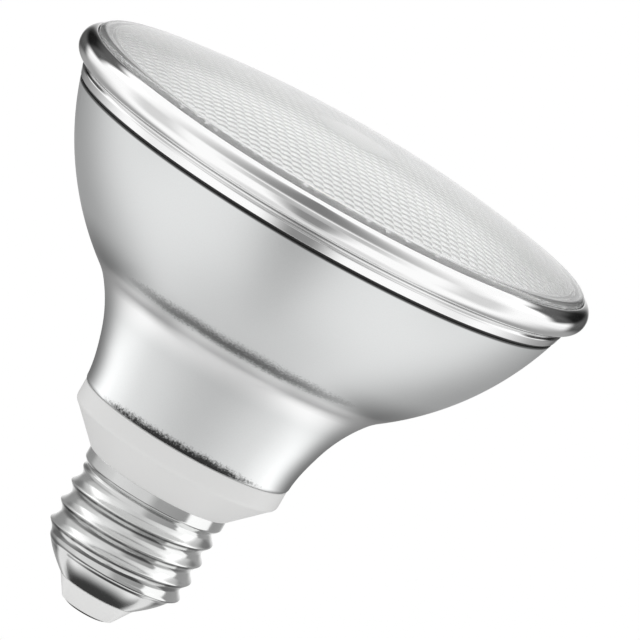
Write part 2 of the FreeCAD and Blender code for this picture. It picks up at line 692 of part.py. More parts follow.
def make_heat_spreader():
    """Disc whose edge follows the inside of the bowl at the waist."""
    depth = BOWL_WALL + FIT
    split = min(waist_z(depth), SPREADER_TOP)
    steps = [(0, LID_TOP), (flare_r(LID_TOP, depth), LID_TOP), flare_arc(LID_TOP, split, depth)]
    if split < SPREADER_TOP:
        steps.append(crown_arc(split, SPREADER_TOP, depth))
    steps.append((0, SPREADER_TOP))
    disc = turned(steps)
    for x, y in CLAMP_POINTS:
        disc = disc.cut(rod(CLAMP_SHANK_R + HOLE_PLAY, LID_TOP - 1, SPREADER_TOP + 1, x, y))
        disc = disc.cut(rod(CLAMP_HEAD_R + HOLE_PLAY, SPREADER_TOP - CLAMP_SINK, SPREADER_TOP + 1, x, y))
    for x, y in WIRE_POINTS:
        disc = disc.cut(rod(WIRE_HOLE_R, LID_TOP - 1, SPREADER_TOP + 1, x, y))
    for x, y in BOARD_POINTS:
        low = LED_BOARD_TOP - BOARD_SCREW_LENGTH
        disc = disc.cut(rod(BOARD_SHANK_R + SCREW_PLAY, low, SPREADER_TOP + 1, x, y))
    for x, y in EAR_POINTS:
        low = EAR_TOP - EAR_SCREW_LENGTH - HOLE_PLAY
        disc = disc.cut(rod(EAR_SHANK_R + SCREW_PLAY, low, SPREADER_TOP + 1, x, y))
    return disc


def engine_layer(low, high):
    """Round layer of the light engine with the holes that pass through it."""
    layer = rod(LED_BOARD_R, low, high)
    for x, y in WIRE_POINTS:
        layer = layer.cut(rod(WIRE_HOLE_R, low - 1, high + 1, x, y))
    for x, y in BOARD_POINTS:
        layer = layer.cut(rod(BOARD_SHANK_R + HOLE_PLAY, low - 1, high + 1, x, y))
    for x, y in EAR_POINTS:
        layer = layer.cut(rod(EAR_SHANK_R + SCREW_PLAY, low - 1, high + 1, x, y))
    return layer


def make_thermal_pad():
    return engine_layer(SPREADER_TOP, PAD_TOP)


def make_led_board():
    return engine_layer(PAD_TOP, LED_BOARD_TOP)


def make_cob_substrate():
    return block(0, COB_SIDE, -COB_SIDE / 2, COB_SIDE / 2, LED_BOARD_TOP, COB_TOP)


def make_phosphor_disc():
    return rod(PHOSPHOR_R, COB_TOP, COB_TOP + PHOSPHOR_HEIGHT)


def make_cob_holder():
    """Ring with two screw ears and a pocket for the light source."""
    holder = rod(HOLDER_R, LED_BOARD_TOP, HOLDER_TOP)
    for x, y in EAR_POINTS:
        holder = holder.fuse(rod(EAR_R, LED_BOARD_TOP, EAR_TOP, x, y))
    side = COB_SIDE + 2 * SLIP
    pocket = block(0, side, -side / 2, side / 2, LED_BOARD_TOP - 1, COB_TOP + SLIP)
    holder = holder.cut(pocket).cut(rod(HOLDER_WINDOW_R, LED_BOARD_TOP, HOLDER_TOP + 1))
    for x, y in EAR_POINTS:
        holder = holder.cut(rod(EAR_SHANK_R + HOLE_PLAY, LED_BOARD_TOP - 1, HOLDER_TOP + 1, x, y))
    return holder


def screw(x, y, seat_z, shank_r, head_r, head_height, length):
    head = rod(head_r, seat_z, seat_z + head_height, x, y)
    drive_low = seat_z + head_height * (1 - DRIVE_DEPTH_SHARE)
    drive = rod(head_r * DRIVE_WIDTH_SHARE, drive_low, seat_z + head_height + 1, x, y)
    shank = rod(shank_r, seat_z - length, (seat_z + drive_low) / 2, x, y)
    return head.fuse(shank).cut(drive).removeSplitter()


def make_clamp_screws():
    seat_z = SPREADER_TOP - CLAMP_SINK
    sizes = (CLAMP_SHANK_R, CLAMP_HEAD_R, CLAMP_HEAD_HEIGHT, CLAMP_LENGTH)
    return Part.makeCompound([screw(x, y, seat_z, *sizes) for x, y in CLAMP_POINTS])


def make_board_screws():
    sizes = (BOARD_SHANK_R, BOARD_HEAD_R, BOARD_HEAD_HEIGHT, BOARD_SCREW_LENGTH)
    return Part.makeCompound([screw(x, y, LED_BOARD_TOP, *sizes) for x, y in BOARD_POINTS])


def make_holder_screws():
    sizes = (EAR_SHANK_R, EAR_HEAD_R, EAR_HEAD_HEIGHT, EAR_SCREW_LENGTH)
    return Part.makeCompound([screw(x, y, EAR_TOP, *sizes) for x, y in EAR_POINTS])


def make_driver_board():
    body = block(0, 2 * BOARD_HALF_WIDTH, -FRONT, FRONT, BOARD_STEP, BOARD_TOP)
    tongue = block(0, 2 * TONGUE_HALF_WIDTH, -FRONT, FRONT, TONGUE_LOW, BOARD_STEP)
    return body.fuse(tongue).removeSplitter()


def make_transformer_core():
    """Two plates, a round middle leg and two side legs."""
    low, high = TRANSFORMER_LOW, TRANSFORMER_LOW + TRANSFORMER_HEIGHT
    y_low, y_high = FRONT + SEAT, FRONT + SEAT + TRANSFORMER_DEPTH
    window_low, window_high = low + TRANSFORMER_PLATE, high - TRANSFORMER_PLATE
    core = block(0, TRANSFORMER_WIDTH, y_low, y_high, low, high)
    window = block(0, TRANSFORMER_WIDTH - 2 * TRANSFORMER_LEG, y_low - 1, y_high + 1, window_low, window_high)
    leg = rod(WINDING_CORE_R, window_low, window_high, 0, TRANSFORMER_Y)
    return core.cut(window.cut(leg))


def make_transformer_winding():
    low = TRANSFORMER_LOW + TRANSFORMER_PLATE + SEAT
    high = TRANSFORMER_LOW + TRANSFORMER_HEIGHT - TRANSFORMER_PLATE - SEAT
    hole = rod(WINDING_CORE_R + SLIP, low - 1, high + 1, 0, TRANSFORMER_Y)
    return rod(WINDING_R, low, high, 0, TRANSFORMER_Y).cut(hole)


def make_film_capacitor():
    width, deep, tall = FILM_SIZE
    x = -(TRANSFORMER_WIDTH + width) / 2 - NEIGHBOUR_GAP
    low = TRANSFORMER_LOW + NEIGHBOUR_RISE
    return block(x, width, FRONT + SEAT, FRONT + SEAT + deep, low, low + tall)


def can(radius, height, x, y, low):
    """Electrolytic can with the rolled groove near its foot."""
    groove_low = low + CAN_GROOVE_LOW
    groove = rod(radius + 1, groove_low, groove_low + CAN_GROOVE_WIDTH, x, y)
    groove = groove.cut(rod(radius - CAN_GROOVE_DEPTH, low, low + height, x, y))
    return rod(radius, low, low + height, x, y).cut(groove)


def make_output_capacitor():
    x = TRANSFORMER_WIDTH / 2 + OUTPUT_CAP_R + NEIGHBOUR_GAP
    low = TRANSFORMER_LOW + NEIGHBOUR_RISE
    return can(OUTPUT_CAP_R, OUTPUT_CAP_HEIGHT, x, FRONT + SEAT + OUTPUT_CAP_R, low)


def make_bulk_capacitor():
    return can(BULK_CAP_R, BULK_CAP_HEIGHT, 0, -FRONT - SEAT - BULK_CAP_R, BULK_CAP_LOW)


def make_inductor_core():
    low, high = INDUCTOR_LOW, INDUCTOR_LOW + INDUCTOR_HEIGHT
    drum = rod(INDUCTOR_R, low, high, INDUCTOR_X, INDUCTOR_Y)
    window = rod(INDUCTOR_R + 1, low + INDUCTOR_FLANGE, high - INDUCTOR_FLANGE, INDUCTOR_X, INDUCTOR_Y)
    return drum.cut(window.cut(rod(INDUCTOR_NECK_R, low, high, INDUCTOR_X, INDUCTOR_Y)))


def make_inductor_winding():
    low = INDUCTOR_LOW + INDUCTOR_FLANGE + SEAT / 2
    high = INDUCTOR_LOW + INDUCTOR_HEIGHT - INDUCTOR_FLANGE - SEAT / 2
    outer = rod(INDUCTOR_R - WINDING_SET, low, high, INDUCTOR_X, INDUCTOR_Y)
    return outer.cut(rod(INDUCTOR_NECK_R + SLIP, low - 1, high + 1, INDUCTOR_X, INDUCTOR_Y))


def behind(size, x, low):
    """Flat component on the board's back face."""
    width, deep, tall = size
    return block(x, width, -FRONT - SEAT / 2 - deep, -FRONT - SEAT / 2, low, low + tall)


def make_bridge_rectifier():
    return behind(BRIDGE_SIZE, BACK_ROW_X, BOARD_STEP + BRIDGE_RISE)


def make_power_transistor():
    low = BOARD_STEP + BRIDGE_RISE + BRIDGE_SIZE[2] + BACK_ROW_GAP
    return behind(TRANSISTOR_SIZE, BACK_ROW_X, low)


def make_control_chip():
    return behind(CHIP_SIZE, 0, BOARD_STEP - CHIP_SIZE[2] + CHIP_RISE)


def make_varistor():
    z = BOARD_STEP - VARISTOR_R - VARISTOR_DROP
    return Part.makeCylinder(VARISTOR_R, VARISTOR_THICK, V(VARISTOR_X, FRONT + SEAT, z), V(0, 1, 0))


def make_fusible_resistor():
    low = BOARD_STEP - FUSE_LENGTH - FUSE_DROP
    high = low + FUSE_LENGTH
    y = FRONT + SEAT + FUSE_R
    body = rod(FUSE_R, low, high, FUSE_X, y)
    waist = ring(FUSE_R + 1, FUSE_R - FUSE_CAP_STEP, low + FUSE_CAP_LENGTH, high - FUSE_CAP_LENGTH)
    waist.translate(V(FUSE_X, y, 0))
    return body.cut(waist)


def make_chip_components():
    """Small parts in two columns beside the control chip, on the board's back face."""
    parts = []
    for x in (-SMALL_PART_X, SMALL_PART_X):
        for i in range(SMALL_PART_ROWS):
            high = BOARD_STEP + CHIP_RISE - i * SMALL_PART_STEP
            parts.append(behind(SMALL_PART_SIZE, x, high - SMALL_PART_SIZE[2]))
    return Part.makeCompound(parts)


def make_live_wire():
    route = [
        (0, WIRE_Y, TONGUE_LOW + LIVE_START),
        (0, WIRE_Y, TONGUE_LOW - LIVE_TURN_HIGH),
        (0, 0, TONGUE_LOW - LIVE_TURN_LOW),
        (0, 0, CONTACT_HEIGHT + SLIP),
    ]
    return tube_along(route, WIRE_R, LIVE_BEND)


def make_neutral_wire():
    route = [
        (NEUTRAL_X, WIRE_Y, NEUTRAL_Z - NEUTRAL_DROP),
        (NEUTRAL_X, WIRE_Y, NEUTRAL_Z),
        (STEM_R + NEUTRAL_REACH, WIRE_Y, NEUTRAL_Z),
    ]
    return tube_along(route, WIRE_R, WIRE_BEND)


def led_wire(angle):
    """From the driver board's front face, up through lid, spreader and board to its pad."""
    x = LED_WIRE_CIRCLE_R * math.cos(angle)
    y = LED_WIRE_CIRCLE_R * math.sin(angle)
    pad_x = LED_PAD_CIRCLE_R * math.cos(angle)
    pad_y = LED_PAD_CIRCLE_R * math.sin(angle)
    low = BOARD_TOP - LED_WIRE_DROP
    high = LED_BOARD_TOP + WIRE_R + SLIP
    bend = LED_BEND_SHARE * (LED_WIRE_CIRCLE_R - LED_PAD_CIRCLE_R)
    route = [
        (x, FRONT, low),
        (x, y, low),
        (x, y, high),
        (pad_x, pad_y, high),
    ]
    return tube_along(route, WIRE_R, bend)


def make_led_wire_plus():
    return led_wire(WIRE_ANGLES[0])


def make_led_wire_minus():
    return led_wire(WIRE_ANGLES[1])


PIECES = {
    "front_lens": make_front_lens,
    "front_rim": make_front_rim,
    "seam_gasket": make_seam_gasket,
    "lens_seal": make_lens_seal,
    "reflector_bowl": make_reflector_bowl,
    "reflector_cup": make_reflector_cup,
    "screw_shell": make_screw_shell,
    "base_insulator": make_base_insulator,
    "centre_contact": make_centre_contact,
    "driver_housing": make_driver_housing,
    "driver_lid": make_driver_lid,
    "heat_spreader": make_heat_spreader,
    "thermal_pad": make_thermal_pad,
    "led_board": make_led_board,
    "cob_substrate": make_cob_substrate,
    "phosphor_disc": make_phosphor_disc,
    "cob_holder": make_cob_holder,
    "clamp_screws": make_clamp_screws,
    "board_screws": make_board_screws,
    "holder_screws": make_holder_screws,
    "driver_board": make_driver_board,
    "transformer_core": make_transformer_core,
    "transformer_winding": make_transformer_winding,
    "film_capacitor": make_film_capacitor,
    "output_capacitor": make_output_capacitor,
    "bulk_capacitor": make_bulk_capacitor,
    "inductor_core": make_inductor_core,
    "inductor_winding": make_inductor_winding,
    "bridge_rectifier": make_bridge_rectifier,
    "power_transistor": make_power_transistor,
    "control_chip": make_control_chip,
    "varistor": make_varistor,
    "fusible_resistor": make_fusible_resistor,
    "chip_components": make_chip_components,
    "live_wire": make_live_wire,
    "neutral_wire": make_neutral_wire,
    "led_wire_plus": make_led_wire_plus,
    "led_wire_minus": make_led_wire_minus,
}

os.makedirs("parts", exist_ok=True)
for name, make in PIECES.items():
    shape = make()
    solids = len(shape.Solids)
    print(name, "solids", solids, "valid", shape.isValid(), "volume", round(shape.Volume, 1))
    shape.exportStep("parts/" + name + ".step")
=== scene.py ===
import json
from math import asin, atan2, cos, hypot, pi, radians, sin, sqrt

import bpy
import numpy as np
from mathutils import Matrix, Vector


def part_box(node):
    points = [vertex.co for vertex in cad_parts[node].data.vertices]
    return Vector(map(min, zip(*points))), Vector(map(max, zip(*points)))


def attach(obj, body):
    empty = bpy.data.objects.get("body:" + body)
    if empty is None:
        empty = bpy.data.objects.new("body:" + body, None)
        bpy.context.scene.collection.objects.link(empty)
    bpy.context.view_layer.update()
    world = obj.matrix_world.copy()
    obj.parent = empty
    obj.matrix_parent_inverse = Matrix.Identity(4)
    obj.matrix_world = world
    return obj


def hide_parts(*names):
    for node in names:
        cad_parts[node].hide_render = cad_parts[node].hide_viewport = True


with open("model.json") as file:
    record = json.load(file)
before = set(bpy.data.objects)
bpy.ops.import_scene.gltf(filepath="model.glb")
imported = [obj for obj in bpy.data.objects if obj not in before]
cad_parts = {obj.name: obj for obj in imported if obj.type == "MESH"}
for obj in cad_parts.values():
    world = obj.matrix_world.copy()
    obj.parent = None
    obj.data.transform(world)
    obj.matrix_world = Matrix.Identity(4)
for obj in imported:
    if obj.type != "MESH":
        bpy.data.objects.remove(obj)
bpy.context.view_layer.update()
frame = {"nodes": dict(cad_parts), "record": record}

# Looks of a reflector spotlight bulb: satin bowl, bright rim, clear lens with small pillows, white collar and
# nickel screw shell. Shapes are worked out in millimetres in the lamp's own frame, and meshes are in metres.

MM = 0.001
TURN = 2 * pi


def box_mm(node):
    """Lowest and highest corner of a CAD node's box, in millimetres."""
    low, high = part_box(node)
    return np.array(low) / MM, np.array(high) / MM


# Heights and radii that the frame gives
LENS_LOW, LENS_HIGH = box_mm("front_lens")
RIM_LOW, RIM_HIGH = box_mm("front_rim")
BOWL_LOW, BOWL_HIGH = box_mm("reflector_bowl")
CUP_LOW, CUP_HIGH = box_mm("reflector_cup")
GASKET_LOW, GASKET_HIGH = box_mm("seam_gasket")
HOUSING_LOW, HOUSING_HIGH = box_mm("driver_housing")
SHELL_LOW, SHELL_HIGH = box_mm("screw_shell")
INSULATOR_LOW, INSULATOR_HIGH = box_mm("base_insulator")
CLAMP_HIGH = box_mm("clamp_screws")[1]
CONTACT_HIGH = box_mm("centre_contact")[1]

BEAD_RISE, BEAD_DROP = 2.7, 2.6
RIM_R, BEZEL_Z, LIP_Z = RIM_HIGH[0], RIM_LOW[2], RIM_HIGH[2]
RIM_Z = LIP_Z - BEAD_RISE
MOUTH_R, NECK_Z, SPIGOT_TOP = BOWL_HIGH[0], BOWL_LOW[2], BOWL_HIGH[2]
SHOULDER_Z = GASKET_LOW[2]
FOOT_R, FOOT_LOW = LENS_HIGH[0], LENS_LOW[2]
APEX_Z = LENS_HIGH[2]
COLLAR_R, STEM_LOW, TUBE_TOP = HOUSING_HIGH[0], HOUSING_LOW[2], HOUSING_HIGH[2]
CAP_Z, CONE_FOOT_Z = SHELL_HIGH[2], SHELL_LOW[2]
BAND_R = SHELL_HIGH[0]

# Bowl
WAIST_Z = NECK_Z + 17.85
WAIST_R = 26.57
NECK_R = 19.85
CROWN_ARC = 52.87
FLARE_ARC = 27.17
BOWL_WALL = 1.3
SPIGOT_R = 44.6
SPIGOT_BORE_R = 43.6
LEDGE_R = 42.6
LEDGE_Z = SPIGOT_TOP - 2.0
# Height of the painted shade line a little above the waist
CREASE_SHADE_Z = 56.05
EDGE_TURN_HEIGHT = 0.7
EDGE_TURN_DEPTH = 0.12
EDGE_BULGE = 0.03

# Lens
LENS_WALL = 2.3
DOME_ARC = 222.0
LENS_EDGE_R = 46.35
LENS_BORE_R = 43.4
FOOT_HIGH = FOOT_LOW + 2.3
PILLOW_PITCH = 2.15
PILLOW_TURN = radians(13.5)
PILLOW_DEPTH = 0.21
PILLOW_EDGE_R = 43.3
PILLOW_EDGE_FADE = 0.7
PLAIN_MIDDLE_R = 7.2
PLAIN_MIDDLE_FADE = 0.25
LENS_CELLS = 272

# Screw shell
THREAD_CREST_R = 13.05
THREAD_ROOT_R = 11.95
THREAD_PITCH = 3.629
THREAD_START = 20.2
THREAD_FADE, THREAD_FOOT_FADE = 1.3, 0.3
THREAD_CREST_ROUND = 0.055
THREAD_LOW = 9.4
THREAD_HIGH = 22.46
SHELL_WALL = 0.35
CAP_BAND_HEIGHT, CAP_STEP_HEIGHT, CAP_STEP_FADE = 1.9, 1.4, 0.15
CONE_TOP_R, CONE_TOP_Z = 12.3, 9.5
CONE_FOOT_R = 7.05
CONE_BELLY = 0.45
CONTACT_HEIGHT = 0.7

# Camera: where it stands, and where the middle of the rim lies in the picture
PICTURE_SIZE = 640.0
SENSOR_WIDTH = 36.0
LENS_LENGTH = 641.25
CLIP_START, CLIP_END = 0.05, 50.0
CAMERA_DISTANCE = 1.900
CAMERA_RISE = radians(8.2)
CAMERA_ROLL = radians(30.0)
RIM_PIXEL = (333.98, 179.12)


# Profiles

CUT_LIMIT = 0.45
SAME_PLACE = 1e-6


def line(start, end, count=9):
    """Points on a straight run, closer together near both ends (cosine spacing)."""
    share = (1 - np.cos(np.linspace(0, pi, count)))[:, None] / 2
    return np.array(start) * (1 - share) + np.array(end) * share


def lines(corners, count=9):
    """Straight runs from corner to corner."""
    return [line(start, end, count) for start, end in zip(corners, corners[1:])]


def circle_centre(a, b, c):
    """Centre of the circle through three points: where the bisectors of a to b and a to c cross."""
    return np.linalg.solve(2 * np.stack([b - a, c - a]), np.array([b @ b - a @ a, c @ c - a @ a]))


def arc(start, via, end, count=24):
    """Points on the circle through three points, evenly spaced by angle."""
    a, b, c = (np.array(p, float) for p in (start, via, end))
    centre = circle_centre(a, b, c)
    angles = [atan2(p[1] - centre[1], p[0] - centre[0]) for p in (a, b, c)]
    sweep = (angles[2] - angles[0]) % TURN
    if (angles[1] - angles[0]) % TURN > sweep:
        sweep -= TURN
    turn = angles[0] + np.linspace(0, sweep, count)
    return centre + np.linalg.norm(a - centre) * np.stack([np.cos(turn), np.sin(turn)], 1)


def lengths_along(points):
    """Length of a polyline from its start to each of its points."""
    return np.concatenate([[0], np.cumsum(np.linalg.norm(np.diff(points, axis=0), axis=1))])


def at_length(points, places):
    """Points at the given lengths along a polyline."""
    return np.stack([np.interp(places, lengths_along(points), points[:, i]) for i in range(2)], 1)


def chain(stretches, cuts, closed=True, steps=5):
    """One profile from stretches laid end to end. At each join both sides give up a length, the join's cut
    (at most CUT_LIMIT of a stretch), and a quadratic curve drawn towards the old corner bridges them."""
    count = len(stretches)
    if np.isscalar(cuts):
        cuts = [cuts] * count
    lengths = [lengths_along(points)[-1] for points in stretches]
    limits = [CUT_LIMIT * length for length in lengths]
    share = np.linspace(0, 1, steps + 2)[1:-1, None]
    made = []
    for i, points in enumerate(stretches):
        following = (i + 1) % count
        first, last = not closed and i == 0, not closed and i == count - 1
        before = 0.0 if first else min(cuts[i - 1], limits[i], limits[i - 1])
        after = 0.0 if last else min(cuts[i], limits[i], limits[following])
        along = lengths_along(points)
        inner = along[(along > before + SAME_PLACE) & (along < lengths[i] - after - SAME_PLACE)]
        kept = at_length(points, np.concatenate([[before], inner, [lengths[i] - after]]))
        made.append(kept)
        if not last:
            corner, landing = points[-1], at_length(stretches[following], [after])[0]
            made.append(kept[-1] * (1 - share) ** 2 + 2 * corner * share * (1 - share) + landing * share ** 2)
    return np.concatenate(made)


def offset_arc_radius(centre, radius, height, outward=1):
    """Radius of an arc at a height: the centre's own, plus (or minus) the root of radius^2 - drop^2."""
    return centre[0] + outward * np.sqrt(radius ** 2 - (height - centre[1]) ** 2)


def arc_centre(low, high, radius, bulge):
    """Centre of the arc through two (r, z) points. bulge is 1 away from the axis, -1 towards it."""
    dr, dz = high[0] - low[0], high[1] - low[1]
    chord = hypot(dr, dz)
    rise = sqrt(radius ** 2 - chord ** 2 / 4)
    middle = ((low[0] + high[0]) / 2, (low[1] + high[1]) / 2)
    return middle[0] - bulge * dz / chord * rise, middle[1] + bulge * dr / chord * rise


def smooth_step(low, high, value):
    """0 up to low, 1 from high on, and 3 s^2 - 2 s^3 between them."""
    share = np.clip((value - low) / (high - low), 0, 1)
    return share * share * (3 - 2 * share)


# Meshes

def place_object(name, data):
    """A new object at the origin for a mesh or a camera."""
    made = bpy.data.objects.new(name, data)
    bpy.context.scene.collection.objects.link(made)
    return made


def faces_inward(points, triangles):
    """True if the closed skin's signed volume is negative."""
    a, b, c = (points[triangles[:, i]] for i in range(3))
    return np.einsum("ij,ij->i", a, np.cross(b, c)).sum() < 0


def put_mesh(name, points, quads, triangles):
    """A mesh object from arrays in millimetres: quads (n, 4) and triangles (m, 3), faces outwards."""
    quads = np.asarray(quads, np.int64).reshape(-1, 4)
    triangles = np.asarray(triangles, np.int64).reshape(-1, 3)
    split = np.concatenate([quads[:, [0, 1, 2]], quads[:, [0, 2, 3]], triangles])
    if faces_inward(points - points.mean(0), split):
        quads, triangles = quads[:, ::-1], triangles[:, ::-1]
    mesh = bpy.data.meshes.new(name)
    corners = np.concatenate([quads.ravel(), triangles.ravel()]).astype(np.int32)
    sizes = np.concatenate([np.full(len(quads), 4), np.full(len(triangles), 3)]).astype(np.int32)
    starts = np.concatenate([[0], np.cumsum(sizes)[:-1]]).astype(np.int32)
    mesh.vertices.add(len(points))
    mesh.vertices.foreach_set("co", (points * MM).astype(np.float32).ravel())
    mesh.loops.add(len(corners))
    mesh.loops.foreach_set("vertex_index", corners)
    mesh.polygons.add(len(sizes))
    mesh.polygons.foreach_set("loop_start", starts)
    mesh.polygons.foreach_set("use_smooth", np.ones(len(sizes), bool))
    mesh.update(calc_edges=True)
    mesh.validate()
    return place_object(name, mesh)


def grid_quads(rows, columns, first=0, wrap_rows=False):
    """Quads of a grid whose columns close round the axis; wrap_rows joins the last row to the first."""
    row = np.arange(rows if wrap_rows else rows - 1)[:, None]
    column = np.arange(columns)[None, :]
    here, above = row * columns, (row + 1) % rows * columns
    beside = (column + 1) % columns
    corner = [here + column, here + beside, above + beside, above + column]
    return first + np.stack([np.broadcast_to(c, (row.size, columns)) for c in corner], -1).reshape(-1, 4)


def fan(pole, ring_first, columns, reverse=False):
    """Triangles from one pole to a ring."""
    column = np.arange(columns)
    here, beside = ring_first + column, ring_first + (column + 1) % columns
    pair = (beside, here) if reverse else (here, beside)
    return np.stack([np.full(columns, pole), *pair], 1)


def round_axis(r, z, turn):
    """Points at every radius, height and turn: x = r cos t, y = r sin t."""
    return np.stack([r * np.cos(turn), r * np.sin(turn), z + 0 * turn], -1).reshape(-1, 3)


def swept_round(profile, columns):
    """Every profile point (r, z) carried round the axis."""
    return round_axis(profile[:, :1], profile[:, 1:], np.arange(columns) * TURN / columns)


def turned_peg(profile, columns):
    """Points, quads and end fans of a profile that starts and ends on the axis, carried round it."""
    middle = profile[1:-1]
    points = np.concatenate([swept_round(middle, columns), [[0, 0, profile[0, 1]], [0, 0, profile[-1, 1]]]])
    last = (len(middle) - 1) * columns
    ends = np.concatenate([fan(len(points) - 2, 0, columns, True), fan(len(points) - 1, last, columns)])
    return points, grid_quads(len(middle), columns), ends


def turned(name, profile, columns=256, closed=True):
    """A turned piece. An open profile starts and ends on the axis, where a pole closes it."""
    if closed:
        return put_mesh(name, swept_round(profile, columns), grid_quads(len(profile), columns, 0, True), [])
    return put_mesh(name, *turned_peg(profile, columns))


# Bowl, rim and the other turned pieces

CROWN_CENTRE = arc_centre((WAIST_R, WAIST_Z), (MOUTH_R, SHOULDER_Z), CROWN_ARC, 1)
FLARE_CENTRE = arc_centre((NECK_R, NECK_Z), (WAIST_R, WAIST_Z), FLARE_ARC, -1)


def crown(z, depth=0.0):
    """Arc of the bowl above the waist, depth inside the outer face."""
    return offset_arc_radius(CROWN_CENTRE, CROWN_ARC - depth, z, 1)


def flare(z, depth=0.0):
    """Arc of the neck, which draws in a little more at its foot to lie flush with the collar."""
    drawn_low, drawn_high = NECK_Z - 1, NECK_Z + 8
    foot = (NECK_R - COLLAR_R - EDGE_TURN_DEPTH) * (1 - smooth_step(drawn_low, drawn_high, z))
    return offset_arc_radius(FLARE_CENTRE, FLARE_ARC + depth, z, -1) - foot


def wall_run(radius_at, start_z, end_z, depth=0.0, count=66):
    """Stretch of the bowl's wall between two heights, depth inside the outer face."""
    z = np.linspace(start_z, end_z, count)
    return np.stack([radius_at(z, depth), z], 1)


def meeting_height(depth):
    """Height where crown and flare cross, depth inside the outer face."""
    reach, steps = 6, 4001
    z = np.linspace(WAIST_Z - reach, WAIST_Z + reach, steps)
    return float(z[np.argmin(np.abs(crown(z, depth) - flare(z, depth)))])


def make_bowl():
    """Spigot, crown, flare, the neck's turned-in edge, and the same arcs a wall further in."""
    inner_waist = meeting_height(BOWL_WALL)
    drop = sqrt((CROWN_ARC - BOWL_WALL) ** 2 - (LEDGE_R - CROWN_CENTRE[0]) ** 2)
    wall_top = CROWN_CENTRE[1] - drop
    edge_z = NECK_Z + EDGE_TURN_HEIGHT
    edge_foot = (flare(NECK_Z) - EDGE_TURN_DEPTH, NECK_Z)
    edge_via = (flare(edge_z) - EDGE_BULGE, NECK_Z + EDGE_TURN_HEIGHT / 2)
    stretches = [
        *lines([(SPIGOT_R, SPIGOT_TOP), (SPIGOT_R, SHOULDER_Z), (MOUTH_R, SHOULDER_Z)]),
        wall_run(crown, SHOULDER_Z, WAIST_Z),
        wall_run(flare, WAIST_Z, edge_z),
        arc((flare(edge_z), edge_z), edge_via, edge_foot, 14),
        line(edge_foot, (flare(NECK_Z, BOWL_WALL), NECK_Z)),
        wall_run(flare, NECK_Z, inner_waist, BOWL_WALL, 40),
        wall_run(crown, inner_waist, wall_top, BOWL_WALL, 50),
        *lines([(LEDGE_R, wall_top), (LEDGE_R, LEDGE_Z), (SPIGOT_BORE_R, LEDGE_Z),
                (SPIGOT_BORE_R, SPIGOT_TOP), (SPIGOT_R, SPIGOT_TOP)]),
    ]
    cuts = [0.1, 0.25, 1.3, 0.1, 0.08, 0.1, 0.8, 0.1, 0.1, 0.1, 0.1, 0.1]
    return turned("reflector_bowl_satin", chain(stretches, cuts), 288)


def make_rim():
    """Lip, bead, two fine grooves with a ridge between them, and a band that tapers to the seam."""
    fit, seat, bevel_r, bevel_z = 0.15, 0.05, 0.15, 0.3
    lip_r, bore_r, foot_bore_r = LENS_EDGE_R + fit, SPIGOT_R + fit, FOOT_R + fit
    lip_low, foot_low, bead_low = FOOT_HIGH + seat, FOOT_LOW - seat, RIM_Z - BEAD_DROP
    band_top_r, band_foot_r = 46.0, 45.55
    bevel_top = (lip_r + bevel_r, LIP_Z)
    upper_via = (RIM_R - 0.46, RIM_Z + BEAD_RISE * 0.62)
    lower_via = (RIM_R - 0.56, RIM_Z - BEAD_DROP * 0.615)
    first_groove, ridge = (band_top_r - 0.35, bead_low - 0.06), (band_top_r - 0.02, bead_low - 0.32)
    second_groove, swell = (band_top_r - 0.25, bead_low - 0.62), (band_top_r - 0.02, bead_low - 1.05)
    stretches = [
        *lines([(lip_r, lip_low), (lip_r, LIP_Z - bevel_z), bevel_top]),
        arc(bevel_top, upper_via, (RIM_R, RIM_Z), 30),
        arc((RIM_R, RIM_Z), lower_via, (band_top_r, bead_low), 30),
        *lines([(band_top_r, bead_low), first_groove, ridge, second_groove], 5),
        line(second_groove, swell, 7),
        *lines([swell, (band_foot_r, BEZEL_Z), (bore_r, BEZEL_Z), (bore_r, foot_low), (foot_bore_r, foot_low),
                (foot_bore_r, lip_low), (lip_r, lip_low)]),
    ]
    cuts = [0.06, 0.1, 0.1, 0.06, 0.04, 0.1, 0.05, 0.15, 0.12, 0.06, 0.06, 0.06, 0.06, 0.06]
    profile = chain(stretches, cuts, steps=4)
    profile[:, 0] = np.minimum(profile[:, 0], RIM_R)
    return turned("front_rim_bright", profile, 320)


def make_gasket():
    """Square ring round the spigot, a little inside the bowl's mouth."""
    set_in = 0.35
    outer, inner = MOUTH_R - set_in, SPIGOT_R
    low, high = GASKET_LOW[2], GASKET_HIGH[2]
    stretches = lines([(inner, high), (inner, low), (outer, low), (outer, high), (inner, high)], 6)
    return turned("seam_gasket_ring", chain(stretches, [0.03, 0.12, 0.12, 0.03]))


def make_cup():
    """Mirrored cup: foot wall, one long arc, flange on the ledge, and the same arc a wall further out."""
    foot_r, wall, flange, clearance = 7.2, 0.9, 0.8, 1.3
    mid_r, mid_rise, count = 27.5, 7.1, 120
    low, foot_z, edge_r = CUP_LOW[2], CUP_LOW[2] + wall, CUP_HIGH[0]
    inner = arc((foot_r, foot_z), (mid_r, foot_z + mid_rise), (LEDGE_R - clearance, LEDGE_Z + flange), count)
    centre = circle_centre(inner[0], inner[count // 2], inner[-1])
    z = np.linspace(LEDGE_Z, low, count // 2)
    outer = np.stack([offset_arc_radius(centre, np.linalg.norm(inner[0] - centre) + wall, z), z], 1)
    stretches = [
        line((foot_r, low), (foot_r, foot_z), 5),
        inner,
        line(inner[-1], (edge_r, CUP_HIGH[2])),
        *lines([(edge_r, CUP_HIGH[2]), (edge_r, LEDGE_Z), outer[0]], 5),
        outer,
        line(outer[-1], (foot_r, low), 5),
    ]
    return turned("reflector_cup_mirror", chain(stretches, 0.1))


